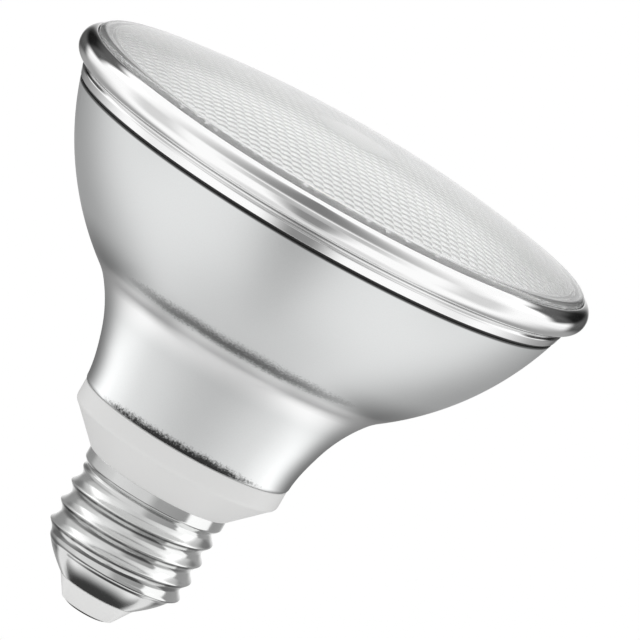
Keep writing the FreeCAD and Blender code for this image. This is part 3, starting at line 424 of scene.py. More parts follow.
def make_collar():
    """White housing: tube, rounded band, cone, and the stem inside the screw shell."""
    tube_r, tube_bore_r, stem_r, stem_bore_r = 17.9, 16.6, 11.3, 10.0
    band_height, turn_height, turn_bulge, bevel = 3.15, 0.9, 0.14, 0.2
    foot_overhang, floor_height = 0.15, 0.85
    band_low = NECK_Z - band_height
    cone_top_z, cone_foot_r = band_low - turn_height, BAND_R + foot_overhang
    cone_top = (cone_foot_r + cone_top_z - CAP_Z, cone_top_z)
    bore_low = CAP_Z + tube_bore_r - stem_bore_r - floor_height
    stretches = [
        *lines([(stem_bore_r, STEM_LOW), (stem_r, STEM_LOW), (stem_r, CAP_Z), (cone_foot_r, CAP_Z),
                cone_top]),
        arc(cone_top, (COLLAR_R - turn_bulge, band_low - turn_height / 2), (COLLAR_R, band_low), 12),
        *lines([(COLLAR_R, band_low), (COLLAR_R, NECK_Z - bevel), (COLLAR_R - bevel, NECK_Z),
                (tube_r, NECK_Z), (tube_r, TUBE_TOP), (tube_bore_r, TUBE_TOP), (tube_bore_r, bore_low),
                (stem_bore_r, bore_low - tube_bore_r + stem_bore_r), (stem_bore_r, STEM_LOW)]),
    ]
    cuts = [0.1, 0.1, 0.12, 0.22, 0.3, 0.1, 0.1, 0.1, 0.1, 0.1, 0.3, 0.3, 0.1]
    return turned("driver_housing_white", chain(stretches, cuts))


def make_posts():
    """Three round posts on the tube's bore that take the clamp screws: a turned peg, set off the axis at
    every third of a turn. The screws' box gives their distance from the axis."""
    post_r, post_height, clamp_head_r, edge_cut, columns, count = 2.4, 13.0, 2.2, 0.1, 48, 3
    low, reach = TUBE_TOP - post_height, CLAMP_HIGH[1] - clamp_head_r
    stretches = lines([(0, low), (post_r, low), (post_r, TUBE_TOP), (0, TUBE_TOP)], 5)
    peg, sides, ends = turned_peg(chain(stretches, edge_cut, closed=False), columns)
    turn = pi / 2 + np.arange(count) * TURN / count
    points = (round_axis(reach, 0, turn)[:, None, :] + peg).reshape(-1, 3)
    first = np.arange(count)[:, None, None] * len(peg)
    return put_mesh("driver_housing_posts", points, sides + first, ends + first)


def make_insulator():
    """White tip between the cone's foot and the contact, with its plug inside the cone."""
    plug_top_r, plug_foot_r, tip_r, seat_r = 8.0, 6.4, 4.75, 4.45
    top, low = INSULATOR_HIGH[2], INSULATOR_LOW[2]
    stretches = lines([(0, top), (plug_top_r, top), (plug_foot_r, CONE_FOOT_Z), (CONE_FOOT_R, CONE_FOOT_Z),
                       (tip_r, low), (seat_r, low), (seat_r, CONTACT_HEIGHT), (0, CONTACT_HEIGHT)])
    cuts = [0.3, 0.1, 0.12, 0.45, 0.08, 0.05, 0.0]
    return turned("base_insulator_white", chain(stretches, cuts, closed=False), 192, closed=False)


def make_contact():
    """Low button with a bevelled edge, and the rivet that holds it."""
    rivet_r, button_r, face_r, top = 1.7, 4.4, 3.6, CONTACT_HIGH[2]
    stretches = lines([(0, top), (rivet_r, top), (rivet_r, CONTACT_HEIGHT), (button_r, CONTACT_HEIGHT),
                       (button_r, CONTACT_HEIGHT / 2), (face_r, 0.0), (0, 0.0)], 7)
    cuts = [0.1, 0.1, 0.1, 0.1, 0.2, 0.0]
    return turned("centre_contact_button", chain(stretches, cuts, closed=False), 160, closed=False)


# Screw shell

def thread_height(turn, z):
    """Helical wave that fades at both ends. With p the distance to the nearest crest in pitches, it is
    (1 - 2 (sqrt(p^2 + e^2) - e)) ^ 2: round hollows that meet in narrow crests, which e rounds off."""
    phase = (z - THREAD_START) / THREAD_PITCH - turn / TURN
    away = np.abs(phase - np.round(phase))
    wave = (1 - 2 * (np.hypot(away, THREAD_CREST_ROUND) - THREAD_CREST_ROUND)) ** 2
    low = smooth_step(THREAD_LOW - THREAD_FADE, THREAD_LOW + THREAD_FOOT_FADE, z)
    high = 1 - smooth_step(THREAD_HIGH - THREAD_FADE, THREAD_HIGH, z)
    return (THREAD_CREST_R - THREAD_ROOT_R) * wave * low * high


def soft_max(a, b, width):
    """The larger of two radii, rounded where they cross: (a + b + sqrt((a - b)^2 + width^2)) / 2."""
    return (a + b + np.sqrt((a - b) ** 2 + width ** 2)) / 2


def soft_min(a, b, width):
    """The smaller of two radii, rounded in the same way."""
    return a + b - soft_max(a, b, width)


def shell_radius(turn, z):
    """Band above, cone below with a parabola's belly, and the thread on the wall between them and on the
    cone's shoulder. No cone counts above cone_end, and no band below the cone's top."""
    cone_end, far_out, cone_join, band_join, band_fade = CONE_TOP_Z + 2.5, 99.0, 0.5, 0.12, 3
    band_low, inset_r = CAP_Z - CAP_BAND_HEIGHT, THREAD_ROOT_R - CAP_STEP_FADE
    step = smooth_step(band_low - CAP_STEP_HEIGHT - CAP_STEP_FADE, band_low + CAP_STEP_FADE, z)
    band = (inset_r + (BAND_R - inset_r) * step) * smooth_step(CONE_TOP_Z, CONE_TOP_Z + band_fade, z)
    share = (z - CONE_FOOT_Z) / (CONE_TOP_Z - CONE_FOOT_Z)
    cone = CONE_FOOT_R + share * (CONE_TOP_R - CONE_FOOT_R) + 4 * CONE_BELLY * share * (1 - share)
    cone = np.where(z < cone_end, cone, far_out)
    wall = soft_min(np.full_like(cone, THREAD_ROOT_R), cone, cone_join) + thread_height(turn, z)
    return soft_max(wall, band, band_join)


def make_shell():
    """Outer skin from cone foot to band top, with rows close together over the thread, and an inner skin a
    wall's thickness inside it."""
    columns, cone_rows, thread_rows, band_rows, inner_rows = 256, 24, 228, 30, 44
    thread_foot = THREAD_LOW - THREAD_FADE
    turn = np.arange(columns)[None, :] * TURN / columns
    outer_z = np.concatenate([
        np.linspace(CONE_FOOT_Z, thread_foot, cone_rows)[:-1],
        np.linspace(thread_foot, THREAD_HIGH, thread_rows)[:-1],
        np.linspace(THREAD_HIGH, CAP_Z, band_rows),
    ])[:, None]
    inner_z = np.linspace(CAP_Z, CONE_FOOT_Z, inner_rows)[:, None]
    outer_r, inner_r = (np.minimum(shell_radius(turn, z), BAND_R) for z in (outer_z, inner_z))
    r, z = np.concatenate([outer_r, inner_r - SHELL_WALL]), np.concatenate([outer_z, inner_z])
    return put_mesh("screw_shell_nickel", round_axis(r, z, turn), grid_quads(len(r), columns, 0, True), [])


# Lens

def dome_height(r, depth=0.0):
    """Height of the lens's sphere at a radius, depth inside the outer face."""
    return APEX_Z - DOME_ARC + np.sqrt((DOME_ARC - depth) ** 2 - r ** 2)


def round_grid(cells):
    """Points of a square grid drawn out to the unit disc, ring by ring (concentric map)."""
    a, b = np.meshgrid(np.linspace(-1, 1, cells + 1), np.linspace(-1, 1, cells + 1))
    wide = np.abs(a) > np.abs(b)
    r = np.where(wide, a, b)
    flat_turn = np.pi / 4 * b / np.where(a == 0, 1, a)
    steep_turn = np.pi / 2 - np.pi / 4 * a / np.where(b == 0, 1, b)
    turn = np.where(wide, flat_turn, steep_turn)
    return r * np.cos(turn), r * np.sin(turn)


def pillow_depth(x, y):
    """Sum of three cosines whose wave directions lie 60 degrees apart, which runs from -1.5 to 3: a field of
    round hollows, 0 at a hollow's edge and 1 at its middle, plain in the lens's middle and at its border."""
    rate = TURN / (PILLOW_PITCH * cos(pi / 6))
    angles = PILLOW_TURN + np.arange(3) * pi / 3
    across = [x * cos(t) + y * sin(t) for t in angles]
    field = np.clip((sum(np.cos(rate * d) for d in across) + 1.5) / 4.5, 0, 1)
    hexagon = np.maximum.reduce([np.abs(d) for d in across])
    inside = smooth_step(PLAIN_MIDDLE_R - PLAIN_MIDDLE_FADE, PLAIN_MIDDLE_R + PLAIN_MIDDLE_FADE, hexagon)
    border = 1 - smooth_step(PILLOW_EDGE_R - PILLOW_EDGE_FADE, PILLOW_EDGE_R, np.hypot(x, y))
    return field * inside * border


def make_lens():
    """Inner face: dome a wall inside with pillows pressed in, on a round grid. Outer face and foot: turned
    rings. The inner face's border has four points for each of the rings', and five triangles join them."""
    x, y = (LENS_BORE_R * v for v in round_grid(LENS_CELLS))
    z = dome_height(np.hypot(x, y), LENS_WALL) + PILLOW_DEPTH * pillow_depth(x, y)
    inner = np.stack([x, y, z], -1).reshape(-1, 3)
    side = LENS_CELLS + 1
    row, column = np.meshgrid(np.arange(LENS_CELLS), np.arange(LENS_CELLS), indexing="ij")
    first = row * side + column
    inner_quads = np.stack([first, first + side, first + side + 1, first + 1], -1).reshape(-1, 4)
    edge, end = np.arange(LENS_CELLS), LENS_CELLS * side
    border = np.concatenate([edge, edge * side + LENS_CELLS, end + LENS_CELLS - edge, end - edge * side])

    roll_in, roll_down, dome_rings, ring_crowding = 1.05, 0.95, 27, 1.3
    roll_r, top = LENS_EDGE_R - roll_in, dome_height(LENS_EDGE_R - roll_in)
    roll_foot, roll_via = (LENS_EDGE_R, top - roll_down), (LENS_EDGE_R - 0.308, top - 0.278)
    stretches = lines([(LENS_BORE_R, dome_height(LENS_BORE_R, LENS_WALL)), (LENS_BORE_R, FOOT_LOW),
                       (FOOT_R, FOOT_LOW), (FOOT_R, FOOT_HIGH), (LENS_EDGE_R, FOOT_HIGH), roll_foot], 7)
    stretches.append(arc(roll_foot, roll_via, (roll_r, top), 12))
    skirt = chain(stretches, [0.15, 0.15, 0.15, 0.1, 0.1, 0.05], closed=False, steps=3)
    dome_r = roll_r * (1 - np.linspace(0, 1, dome_rings)[1:-1] ** ring_crowding)
    profile = np.concatenate([skirt[1:], np.stack([dome_r, dome_height(dome_r)], 1)])
    turn = np.arctan2(inner[border[::4], 1], inner[border[::4], 0])
    rings = round_axis(profile[:, :1], profile[:, 1:], turn)

    ring_first, columns = len(inner), len(turn)
    step = np.arange(columns)
    here, beside = ring_first + step, ring_first + (step + 1) % columns
    fine = border[(4 * step[:, None] + np.arange(5)) % len(border)]
    joints = [np.stack([fine[:, i], fine[:, i + 1], here if i < 2 else beside], 1) for i in range(4)]
    joints.append(np.stack([fine[:, 2], beside, here], 1))
    pole = ring_first + len(rings)
    joints.append(fan(pole, pole - columns, columns))
    points = np.concatenate([inner, rings, [[0, 0, APEX_Z]]])
    quads = np.concatenate([inner_quads, grid_quads(len(profile), columns, ring_first)])
    return put_mesh("front_lens_clear", points, quads, np.concatenate(joints))


# Shader nodes

def new_material(name):
    """Node material, its tree and the shader it starts with."""
    material = bpy.data.materials.new(name)
    material.use_nodes = True
    return material, material.node_tree, material.node_tree.nodes["Principled BSDF"]


def new_group(name, inputs, outputs):
    """Empty shader group with number sockets, inputs with their usual values, and its two end nodes."""
    group = bpy.data.node_groups.new(name, "ShaderNodeTree")
    for label, value in inputs.items():
        socket = group.interface.new_socket(name=label, in_out="INPUT", socket_type="NodeSocketFloat")
        socket.default_value = value
    for label in outputs:
        group.interface.new_socket(name=label, in_out="OUTPUT", socket_type="NodeSocketFloat")
    return group, group.nodes.new("NodeGroupInput"), group.nodes.new("NodeGroupOutput")


def feed(made, values):
    """Plain numbers and colours, or sockets, into a node's inputs by name or number."""
    for place, value in values.items():
        if isinstance(value, bpy.types.NodeSocket):
            made.id_data.links.new(value, made.inputs[place])
        else:
            made.inputs[place].default_value = value


def node(tree, kind, **settings):
    """New node with its settings."""
    made = tree.nodes.new(kind)
    for key, value in settings.items():
        setattr(made, key, value)
    return made


def fed_node(kind, values, **settings):
    """New node fed with values, in the tree that the first socket among them belongs to."""
    tree = next(value.id_data for value in values.values() if isinstance(value, bpy.types.NodeSocket))
    made = node(tree, kind, **settings)
    feed(made, values)
    return made


def calculate(operation, *values):
    """Math node on sockets or plain numbers; gives its output."""
    return fed_node("ShaderNodeMath", dict(enumerate(values)), operation=operation).outputs[0]


def product(first, *others):
    """The first value times each of the others."""
    for other in others:
        first = calculate("MULTIPLY", first, other)
    return first


def less(first, second):
    """The first value less the second."""
    return calculate("SUBTRACT", first, second)


def drawn_to(level, goal, share):
    """A level moved towards a goal by a share of the way."""
    return calculate("ADD", level, product(less(goal, level), share))


def noise(vector, scale, detail=2.0, roughness=0.5):
    """Noise of a number of cells to the metre, 0 to 1."""
    values = {"Vector": vector, "Scale": scale, "Detail": detail, "Roughness": roughness}
    return fed_node("ShaderNodeTexNoise", values).outputs["Fac"]


def spread(value, low, high, low_out=0.0, high_out=1.0, kind="SMOOTHSTEP"):
    """Map Range: value from low..high to low_out..high_out, with soft ends or straight."""
    values = {"Value": value, "From Min": low, "From Max": high, "To Min": low_out, "To Max": high_out}
    return fed_node("ShaderNodeMapRange", values, interpolation_type=kind).outputs["Result"]


def fall(value, low, high, top=1.0, kind="SMOOTHSTEP"):
    """top up to low, and 0 from high on."""
    return spread(value, low, high, top, 0.0, kind)


def object_point(tree):
    """The shaded point in the piece's own frame."""
    return node(tree, "ShaderNodeTexCoord").outputs["Object"]


def parts_of(point):
    """X, y and z of a point."""
    return fed_node("ShaderNodeSeparateXYZ", {0: point}).outputs


def distance(x, y):
    """sqrt(x^2 + y^2)."""
    return calculate("SQRT", calculate("ADD", product(x, x), product(y, y)))


def mixed_colour(share, first, second, blend="MIX"):
    """Two colours mixed by a share."""
    values = {"Factor": share, "A": first, "B": second}
    return fed_node("ShaderNodeMix", values, data_type="RGBA", blend_type=blend).outputs["Result"]


def dented(height, strength, depth, **normal):
    """Normal of a surface that a height field dents."""
    values = {"Strength": strength, "Distance": depth, "Height": height, **normal}
    return fed_node("ShaderNodeBump", values).outputs["Normal"]


def grey(level):
    """Even colour of one level."""
    return level, level, level, 1.0


def heights(base, *offsets):
    """Heights so many millimetres from a base one, in metres."""
    return [(base + offset) * MM for offset in offsets]


# Grain and turning lines

def build_surface_grain():
    """Fine even grain: colour factor, roughness shift and bump height from two sizes of noise."""
    usual = {"Scale": 4000.0, "Tone": 0.03, "Rough": 0.3, "Rough Change": 0.05}
    group, start, end = new_group("surface_grain", usual, ["Tone", "Roughness", "Height"])
    scale, tone, rough, change = (start.outputs[label] for label in usual)
    place = object_point(group)
    broad_scale, broad_share = 0.011, 0.6
    fine = noise(place, scale, 3.0, 0.6)
    broad = noise(place, product(scale, broad_scale))
    drift = product(less(broad, 0.5), broad_share)
    both = calculate("ADD", less(fine, 0.5), drift)
    feed(end, {
        "Tone": calculate("ADD", 1.0, product(both, tone)),
        "Roughness": calculate("ADD", rough, product(both, change)),
        "Height": fine,
    })
    return group


def build_turning_lines():
    """Faint rings round the axis, as spinning and turning leave them: noise read by radius and height."""
    group, start, end = new_group("turning_lines", {"Lines per Metre": 3000.0}, ["Height"])
    x, y, z = parts_of(object_point(group))
    ring = fed_node("ShaderNodeCombineXYZ", {0: distance(x, y), 1: z}).outputs[0]
    feed(end, {"Height": noise(ring, start.outputs["Lines per Metre"], 2.0, 0.6)})
    return group


GRAIN = build_surface_grain()
TURNING = build_turning_lines()


def place_group(tree, group, values):
    """The group's outputs for this material's own values."""
    made = node(tree, "ShaderNodeGroup", node_tree=group)
    feed(made, values)
    return made.outputs


# Finishes

def grained(tree, shader, colour, scale, tone, rough, change):
    """Grain in a shader's colour and roughness; gives the colour and the grain's height."""
    grain = place_group(tree, GRAIN, {"Scale": scale, "Tone": tone, "Rough": rough, "Rough Change": change})
    tint = mixed_colour(1.0, (*colour, 1.0), grain["Tone"], "MULTIPLY")
    feed(shader, {"Base Color": tint, "Roughness": grain["Roughness"]})
    return tint, grain["Height"]


def base_finish(name, colour, metal=0.0, rough=0.3, scale=4000.0, tone=0.03, change=0.05, bump=0.05):
    """Finish with grain in colour, roughness and bump; gives material, tree, shader, colour and normal."""
    grain_depth = 0.02 * MM
    material, tree, shader = new_material(name)
    tint, height = grained(tree, shader, colour, scale, tone, rough, change)
    normal = dented(height, bump, grain_depth)
    feed(shader, {"Metallic": metal, "Normal": normal})
    return material, tree, shader, tint, normal


def clear_glass():
    """Pressed clear lens, very slightly milky."""
    material, tree, shader = new_material("clear_lens")
    feed(shader, {"Metallic": 0.0, "Transmission Weight": 0.80, "IOR": 1.50})
    grained(tree, shader, (0.995, 1.0, 0.996), 900.0, 0.01, 0.02, 0.012)
    return material


# Painted shade and a painted highlight on the bowl: the heights between which each mark comes in and goes
# out, how far the metal is turned away where it changes, and the cells to the metre of the noise that makes
# the lines ragged
EDGE_SHADE_START, EDGE_SHADE_END = heights(NECK_Z, -0.2, 0.1), heights(NECK_Z, 0.8, 2.1)
CREASE_SHADE_START, CREASE_SHADE_END = heights(CREASE_SHADE_Z, -1.4, -0.1), heights(CREASE_SHADE_Z, 0.0, 2.0)
SHEEN_RING_START, SHEEN_RING_END = heights(CREASE_SHADE_Z, -8.5, -3.5), heights(CREASE_SHADE_Z, -1.6, -0.6)
MOUTH_SHADE_START, FLANK_SHADE_END = heights(SHOULDER_Z, -0.50, -0.18), heights(CREASE_SHADE_Z, -1.0, 6.0)
EDGE_SHADE_FACING, CREASE_SHADE_FACING = (0.28, 0.62), (0.36, 0.84)
FLANK_SHADE_FACING, SHEEN_RING_FACING = (0.40, 0.80), (0.03, 0.16)
FINE_CELLS, SLOW_CELLS = 2500.0, 160.0
# Colour of the bowl's painted shade
BOWL_SHADE_TONE = 0.028


def satin_bowl():
    """Satin silver with painted shade: a dark band at the mouth edge, two dark ragged lines, one above the
    waist and one where the neck's edge turns in, and a painted highlight ring under the upper one. The lines
    thin out where the metal turns away, and below the upper line the flanks get painted shade too."""
    material, tree, shader, tint, _ = base_finish(
        "satin_silver_painted_shade", (0.755, 0.765, 0.765), metal=1.0, rough=0.36, scale=5200.0, tone=0.10, change=0.10,
        bump=0.20)
    place = object_point(tree)
    z = parts_of(place)["Z"]
    facing = node(tree, "ShaderNodeLayerWeight").outputs["Facing"]
    ragged, drift = less(noise(place, FINE_CELLS, 4.0, 0.75), 0.5), less(noise(place, SLOW_CELLS), 0.5)

    def wavering(raggedness, drifting):
        """Height less fine and slow noise, by so many millimetres each."""
        height = less(z, product(ragged, raggedness * MM))
        return less(height, product(drift, drifting * MM))

    # Painted shade along the neck's turned-in edge
    edge_shade_height = calculate("ADD", wavering(2.8, 1.4), product(facing, 3.0 * MM))
    edge = product(fall(edge_shade_height, *EDGE_SHADE_END), spread(z, *EDGE_SHADE_START),
                   spread(facing, *EDGE_SHADE_FACING, 0.98, 0.15, "LINEAR"))
    # Painted shade line a little above the waist
    crease_shade_height = wavering(2.4, 0.6)
    crease_shade = product(spread(crease_shade_height, *CREASE_SHADE_START), fall(crease_shade_height, *CREASE_SHADE_END),
                     fall(facing, *CREASE_SHADE_FACING, 1.0, "LINEAR"))
    # Painted shade at the mouth edge
    mouth_shade = spread(z, *MOUTH_SHADE_START, 0.0, 0.92)
    # Painted shade on the flanks below the upper line
    flank_shade = product(spread(facing, *FLANK_SHADE_FACING, 0.0, 0.62), fall(z, *FLANK_SHADE_END))
    shade_strength = edge
    for other in (crease_shade, mouth_shade, flank_shade):
        shade_strength = calculate("MAXIMUM", shade_strength, other)
    # Painted highlight: a light ring under the upper line
    sheen_ring = product(spread(z, *SHEEN_RING_START, 0.0, 0.90), fall(z, *SHEEN_RING_END),
                      spread(facing, *SHEEN_RING_FACING, 0.35, 1.0))
    sheen_tint = mixed_colour(sheen_ring, tint, grey(1.0))
    feed(shader, {"Base Color": mixed_colour(shade_strength, sheen_tint, grey(BOWL_SHADE_TONE))})
    return material


# Painted shade in the rim's grooves: (how far below the bead's widest ring in millimetres, how dark)
GROOVE_SHADES = [(2.68, 0.32), (3.24, 0.26)]
GROOVE_CORE, GROOVE_END = 0.04, 0.20
GROOVE_SHADE_TONE = 0.10


def bright_rim():
    """Bright metal with fine turning lines, and painted shade in the two grooves under the bead."""
    material, tree, shader, tint, normal = base_finish(
        "bright_chrome_groove_shade", (0.90, 0.90, 0.90), metal=1.0, rough=0.10, scale=2500.0, bump=0.06)
    turning = place_group(tree, TURNING, {"Lines per Metre": 2600.0})["Height"]
    z = parts_of(object_point(tree))["Z"]
    shares = []
    for below, shade_strength in GROOVE_SHADES:
        away = calculate("ABSOLUTE", less(z, (RIM_Z - below) * MM))
        shares.append(fall(away, GROOVE_CORE * MM, GROOVE_END * MM, shade_strength))
    # Painted shade in the grooves
    groove_shaded = mixed_colour(calculate("MAXIMUM", *shares), tint, grey(GROOVE_SHADE_TONE))
    feed(shader, {"Base Color": groove_shaded, "Normal": dented(turning, 0.10, 0.03 * MM, Normal=normal)})
    return material


# Painted shade line under the thread's crests: where it comes in and goes out, in pitches from the crest
CREST_SHADE_START, CREST_SHADE_END = (-0.20, -0.11), (-0.07, -0.02)
CREST_SHADE_TONE = 0.05


def nickel_shell():
    """Bright nickel with a painted shade line under each crest of the thread, of uneven strength."""
    material, tree, shader, tint, _ = base_finish(
        "bright_nickel_crest_shade", (0.78, 0.785, 0.78), metal=1.0, rough=0.13, scale=3500.0, tone=0.05, change=0.08,
        bump=0.10)
    place = object_point(tree)
    x, y, z = parts_of(place)
    turns = calculate("DIVIDE", calculate("ARCTAN2", y, x), TURN)
    rise = calculate("DIVIDE", less(z, THREAD_START * MM), THREAD_PITCH * MM)
    phase = less(rise, turns)
    above = less(phase, calculate("ROUND", phase))
    uneven = spread(noise(place, 260.0, 3.0, 0.6), 0.30, 0.62, 0.55, 0.97)
    # Painted shade line under each crest
    share = product(spread(above, *CREST_SHADE_START), fall(above, *CREST_SHADE_END), uneven,
                    spread(z, *heights(THREAD_LOW, -THREAD_FADE, 0)),
                    fall(z, *heights(THREAD_HIGH, -1.0, 0)))
    feed(shader, {"Base Color": mixed_colour(share, tint, grey(CREST_SHADE_TONE))})
    return material


# Plain finishes by slot: name, colour, and what differs from the usual values of base_finish
PLAIN_FINISHES = {
    "black_rubber": ("gasket_black", (0.018, 0.018, 0.018), dict(rough=0.6, bump=0.2)),
    "clear_seal": ("silicone_seal", (0.90, 0.90, 0.88), dict(rough=0.5, bump=0.1)),
    "mirror_cup": ("mirror_coat", (0.95, 0.95, 0.95),
                   dict(metal=1.0, rough=0.06, scale=1500.0, tone=0.02, change=0.04, bump=0.10)),
    "white_tip": ("tip_white", (0.76, 0.76, 0.755), dict(rough=0.30, tone=0.02, bump=0.03)),
    "contact_metal": ("tinned_contact", (0.62, 0.61, 0.59), dict(metal=1.0, rough=0.32, tone=0.12, bump=0.2)),
    "white_collar": ("collar_white", (0.70, 0.70, 0.695),
                     dict(rough=0.45, scale=3000.0, tone=0.02, change=0.08, bump=0.10)),
    "raw_aluminium": ("turned_aluminium", (0.70, 0.70, 0.70),
                      dict(metal=1.0, rough=0.35, tone=0.08, bump=0.2)),
    "grey_pad": ("thermal_pad_grey", (0.28, 0.30, 0.34), dict(rough=0.7, bump=0.3)),
    "board_white": ("board_white", (0.80, 0.80, 0.77), dict(rough=0.35)),
    "ceramic": ("light_plate_ceramic", (0.72, 0.72, 0.69), dict(rough=0.5, bump=0.1)),
    "phosphor": ("phosphor_yellow", (0.85, 0.60, 0.08), dict(rough=0.35, scale=6000.0, tone=0.15, bump=0.15)),
    "holder_plastic": ("holder_white", (0.82, 0.82, 0.80), dict(rough=0.4, bump=0.08)),
    "screw_steel": ("screw_zinc", (0.55, 0.56, 0.57), dict(metal=1.0, tone=0.1, bump=0.2)),
    "board_green": ("board_green", (0.02, 0.12, 0.04), dict(rough=0.35, tone=0.1, bump=0.1)),
    "ferrite": ("ferrite_grey", (0.025, 0.025, 0.028), dict(rough=0.55, tone=0.2, bump=0.4)),
    "yellow_tape": ("winding_tape", (0.70, 0.46, 0.02), dict(bump=0.1)),
    "film_box": ("film_capacitor_box", (0.48, 0.32, 0.02), dict(rough=0.35, bump=0.1)),
    "can_sleeve": ("capacitor_sleeve", (0.02, 0.025, 0.04), {}),
    "copper_wire": ("enamelled_copper", (0.36, 0.10, 0.03), dict(metal=0.6, tone=0.2, bump=0.3)),
    "black_mould": ("moulded_black", (0.02, 0.02, 0.02), dict(rough=0.5, bump=0.2)),
    "blue_lacquer": ("varistor_blue", (0.02, 0.06, 0.28), dict(rough=0.25)),
    "resistor_body": ("resistor_green", (0.30, 0.40, 0.27), dict(rough=0.6, bump=0.3)),
    "chip_ceramic": ("chip_ceramic", (0.16, 0.10, 0.05), dict(rough=0.45, bump=0.1)),
    "wire_red": ("insulation_red", (0.35, 0.01, 0.01), dict(rough=0.35)),
    "wire_white": ("insulation_white", (0.74, 0.74, 0.72), dict(rough=0.35)),
    "wire_black": ("insulation_black", (0.02, 0.02, 0.02), dict(rough=0.35)),
}

FINISHES = {slot: base_finish(name, colour, **settings)[0]
            for slot, (name, colour, settings) in PLAIN_FINISHES.items()}
FINISHES.update(lens_glass=clear_glass(), bright_rim=bright_rim(), satin_bowl=satin_bowl(),
                nickel_shell=nickel_shell())


def dress(piece, cad_node, slot):
    """The piece stands for its CAD node, rides on the lamp and takes its finish."""
    piece.data.materials.append(FINISHES[slot])
    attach(piece, "root")
    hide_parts(cad_node)


dress(make_lens(), "front_lens", "lens_glass")
dress(make_rim(), "front_rim", "bright_rim")
dress(make_gasket(), "seam_gasket", "black_rubber")
dress(make_bowl(), "reflector_bowl", "satin_bowl")
dress(make_cup(), "reflector_cup", "mirror_cup")
dress(make_collar(), "driver_housing", "white_collar")
dress(make_posts(), "driver_housing", "white_collar")
dress(make_shell(), "screw_shell", "nickel_shell")
dress(make_insulator(), "base_insulator", "white_tip")
dress(make_contact(), "centre_contact", "contact_metal")

SLOT_OF = {entry["node"]: entry["material_slot"] for entry in frame["record"]["subparts"]}
for cad_name, cad_object in frame["nodes"].items():
    cad_object.data.materials.clear()
    cad_object.data.materials.append(FINISHES[SLOT_OF[cad_name]])


# Stage, in metres: pale floor, and white surroundings that bright metal sees with soft grey zones in them

FLOOR_DROP = 0.10
FLOOR_R = 6.0
FLOOR_GLOW = 0.66
FLOOR_TONE = 0.36
ROOM_LEVEL = 0.95
BRIGHT_LEVEL = 1.08

# Zones of the room as metal sees it: azimuth from the camera's side (degrees, the same left and right), where
# it is full, where it ends, then height above the horizon in the same way, and how much it darkens (below 0:
# lightens)
ZONES = [
    (0, 4, 26, -37, 21, 32, 0.74),
    (0, 3, 24, -70, 6, 14, 0.45),
    (0, 20, 50, -1, 6, 14, 0.50),
    (0, 0, 105, 85, 60, 76, 0.80),
    (80, 5, 22, -8, 14, 34, 0.32),
    (158, 9, 20, 3, 12, 24, 0.90),
    (146, 16, 26, 19, 12, 20, 0.92),
    (180, 30, 78, -35, 14, 32, 0.66),
    (180, 14, 24, 2, 8, 20, 0.16),
    (180, 45, 90, 26, 8, 16, -0.32),
    (0, 180, 181, -90, 12, 34, 0.28),
]

# The wall close round the screw base that only metal sees: (azimuth, level) for the shell, and above it for
# the neck. Its foot is darker, less so at the sides, and below the base its sides are light beside the cone.
WALL_R = 0.029
WALL_COLUMNS = 96
WALL_LOW, WALL_SPLIT, WALL_END = -0.026, (0.0225, 0.0265), (0.038, 0.050)
WALL_FOOT, WALL_FOOT_AZIMUTH = (-0.001, 0.008), np.radians([40, 80])
WALL_FOOT_LEVEL, WALL_FOOT_SIDE_LEVEL = 0.18, 0.45
CONE_SIDE, CONE_SIDE_AZIMUTH = (-0.015, -0.009), np.radians([65, 95])
CONE_SIDE_LEVEL = 0.90
SHELL_LEVELS = [
    (-180, 0.95), (-150, 0.90), (-125, 0.32), (-104, 0.34), (-88, 0.62), (-55, 0.76), (-48, 0.84), (-4, 0.76),
    (12, 0.42), (50, 0.36), (55, 1.25), (90, 1.20), (95, 0.34), (125, 0.38), (150, 0.90), (180, 0.95),
]
NECK_LEVELS = [
    (-180, 0.12), (-116, 0.22), (-97, 0.70), (-79, 1.54), (-60, 1.17), (-43, 0.91), (0, 0.68), (43, 0.91),
    (60, 1.17), (79, 1.54), (97, 0.70), (116, 0.22), (180, 0.12),
]
DISC_CORE_R, DISC_EDGE_R = 0.0087, 0.01595
DISC_DROP = 0.008
DISC_BACK = 0.003
DISC_GLOW = 0.05


def stage_object(name, points, faces, material):
    """A stage piece with its material."""
    mesh = bpy.data.meshes.new(name)
    mesh.from_pydata(np.asarray(points).tolist(), [], np.asarray(faces).tolist())
    mesh.materials.append(material)
    made = place_object(name, mesh)
    return made


def stage_card(name, points, faces):
    """A card that only reflections see, with an empty tree to fill in."""
    material, tree, shader = new_material(name + "_card")
    tree.nodes.remove(shader)
    made = stage_object(name, points, faces, material)
    made.visible_camera = made.visible_diffuse = made.visible_transmission = made.visible_shadow = False
    return tree


def let_through(share, glow):
    """Stage piece's surface: the glow, made clear by the given share."""
    clear = node(glow.id_data, "ShaderNodeBsdfTransparent")
    mix = fed_node("ShaderNodeMixShader", {0: share, 1: glow.outputs[0], 2: clear.outputs[0]})
    feed(glow.id_data.nodes["Material Output"], {"Surface": mix.outputs[0]})


def level_disc(radius, z, count, back=0.0):
    """Corners of a level round disc."""
    turn = np.arange(count) * TURN / count
    return np.stack([radius * np.cos(turn), radius * np.sin(turn) + back, np.full(count, z)], 1)


def make_floor():
    """Round pale floor that glows enough to read as white round the lamp's soft shadow, clear from below."""
    corners = 64
    material, tree, shader = new_material("floor_pale")
    points = level_disc(FLOOR_R, -FLOOR_DROP, corners)
    stage_object("floor", points, [range(corners)], material).visible_glossy = False
    feed(shader, {
        "Base Color": grey(FLOOR_TONE), "Roughness": 1.0, "Specular IOR Level": 0.0,
        "Emission Color": grey(1.0), "Emission Strength": FLOOR_GLOW,
    })
    let_through(node(tree, "ShaderNodeNewGeometry").outputs["Backfacing"], shader)


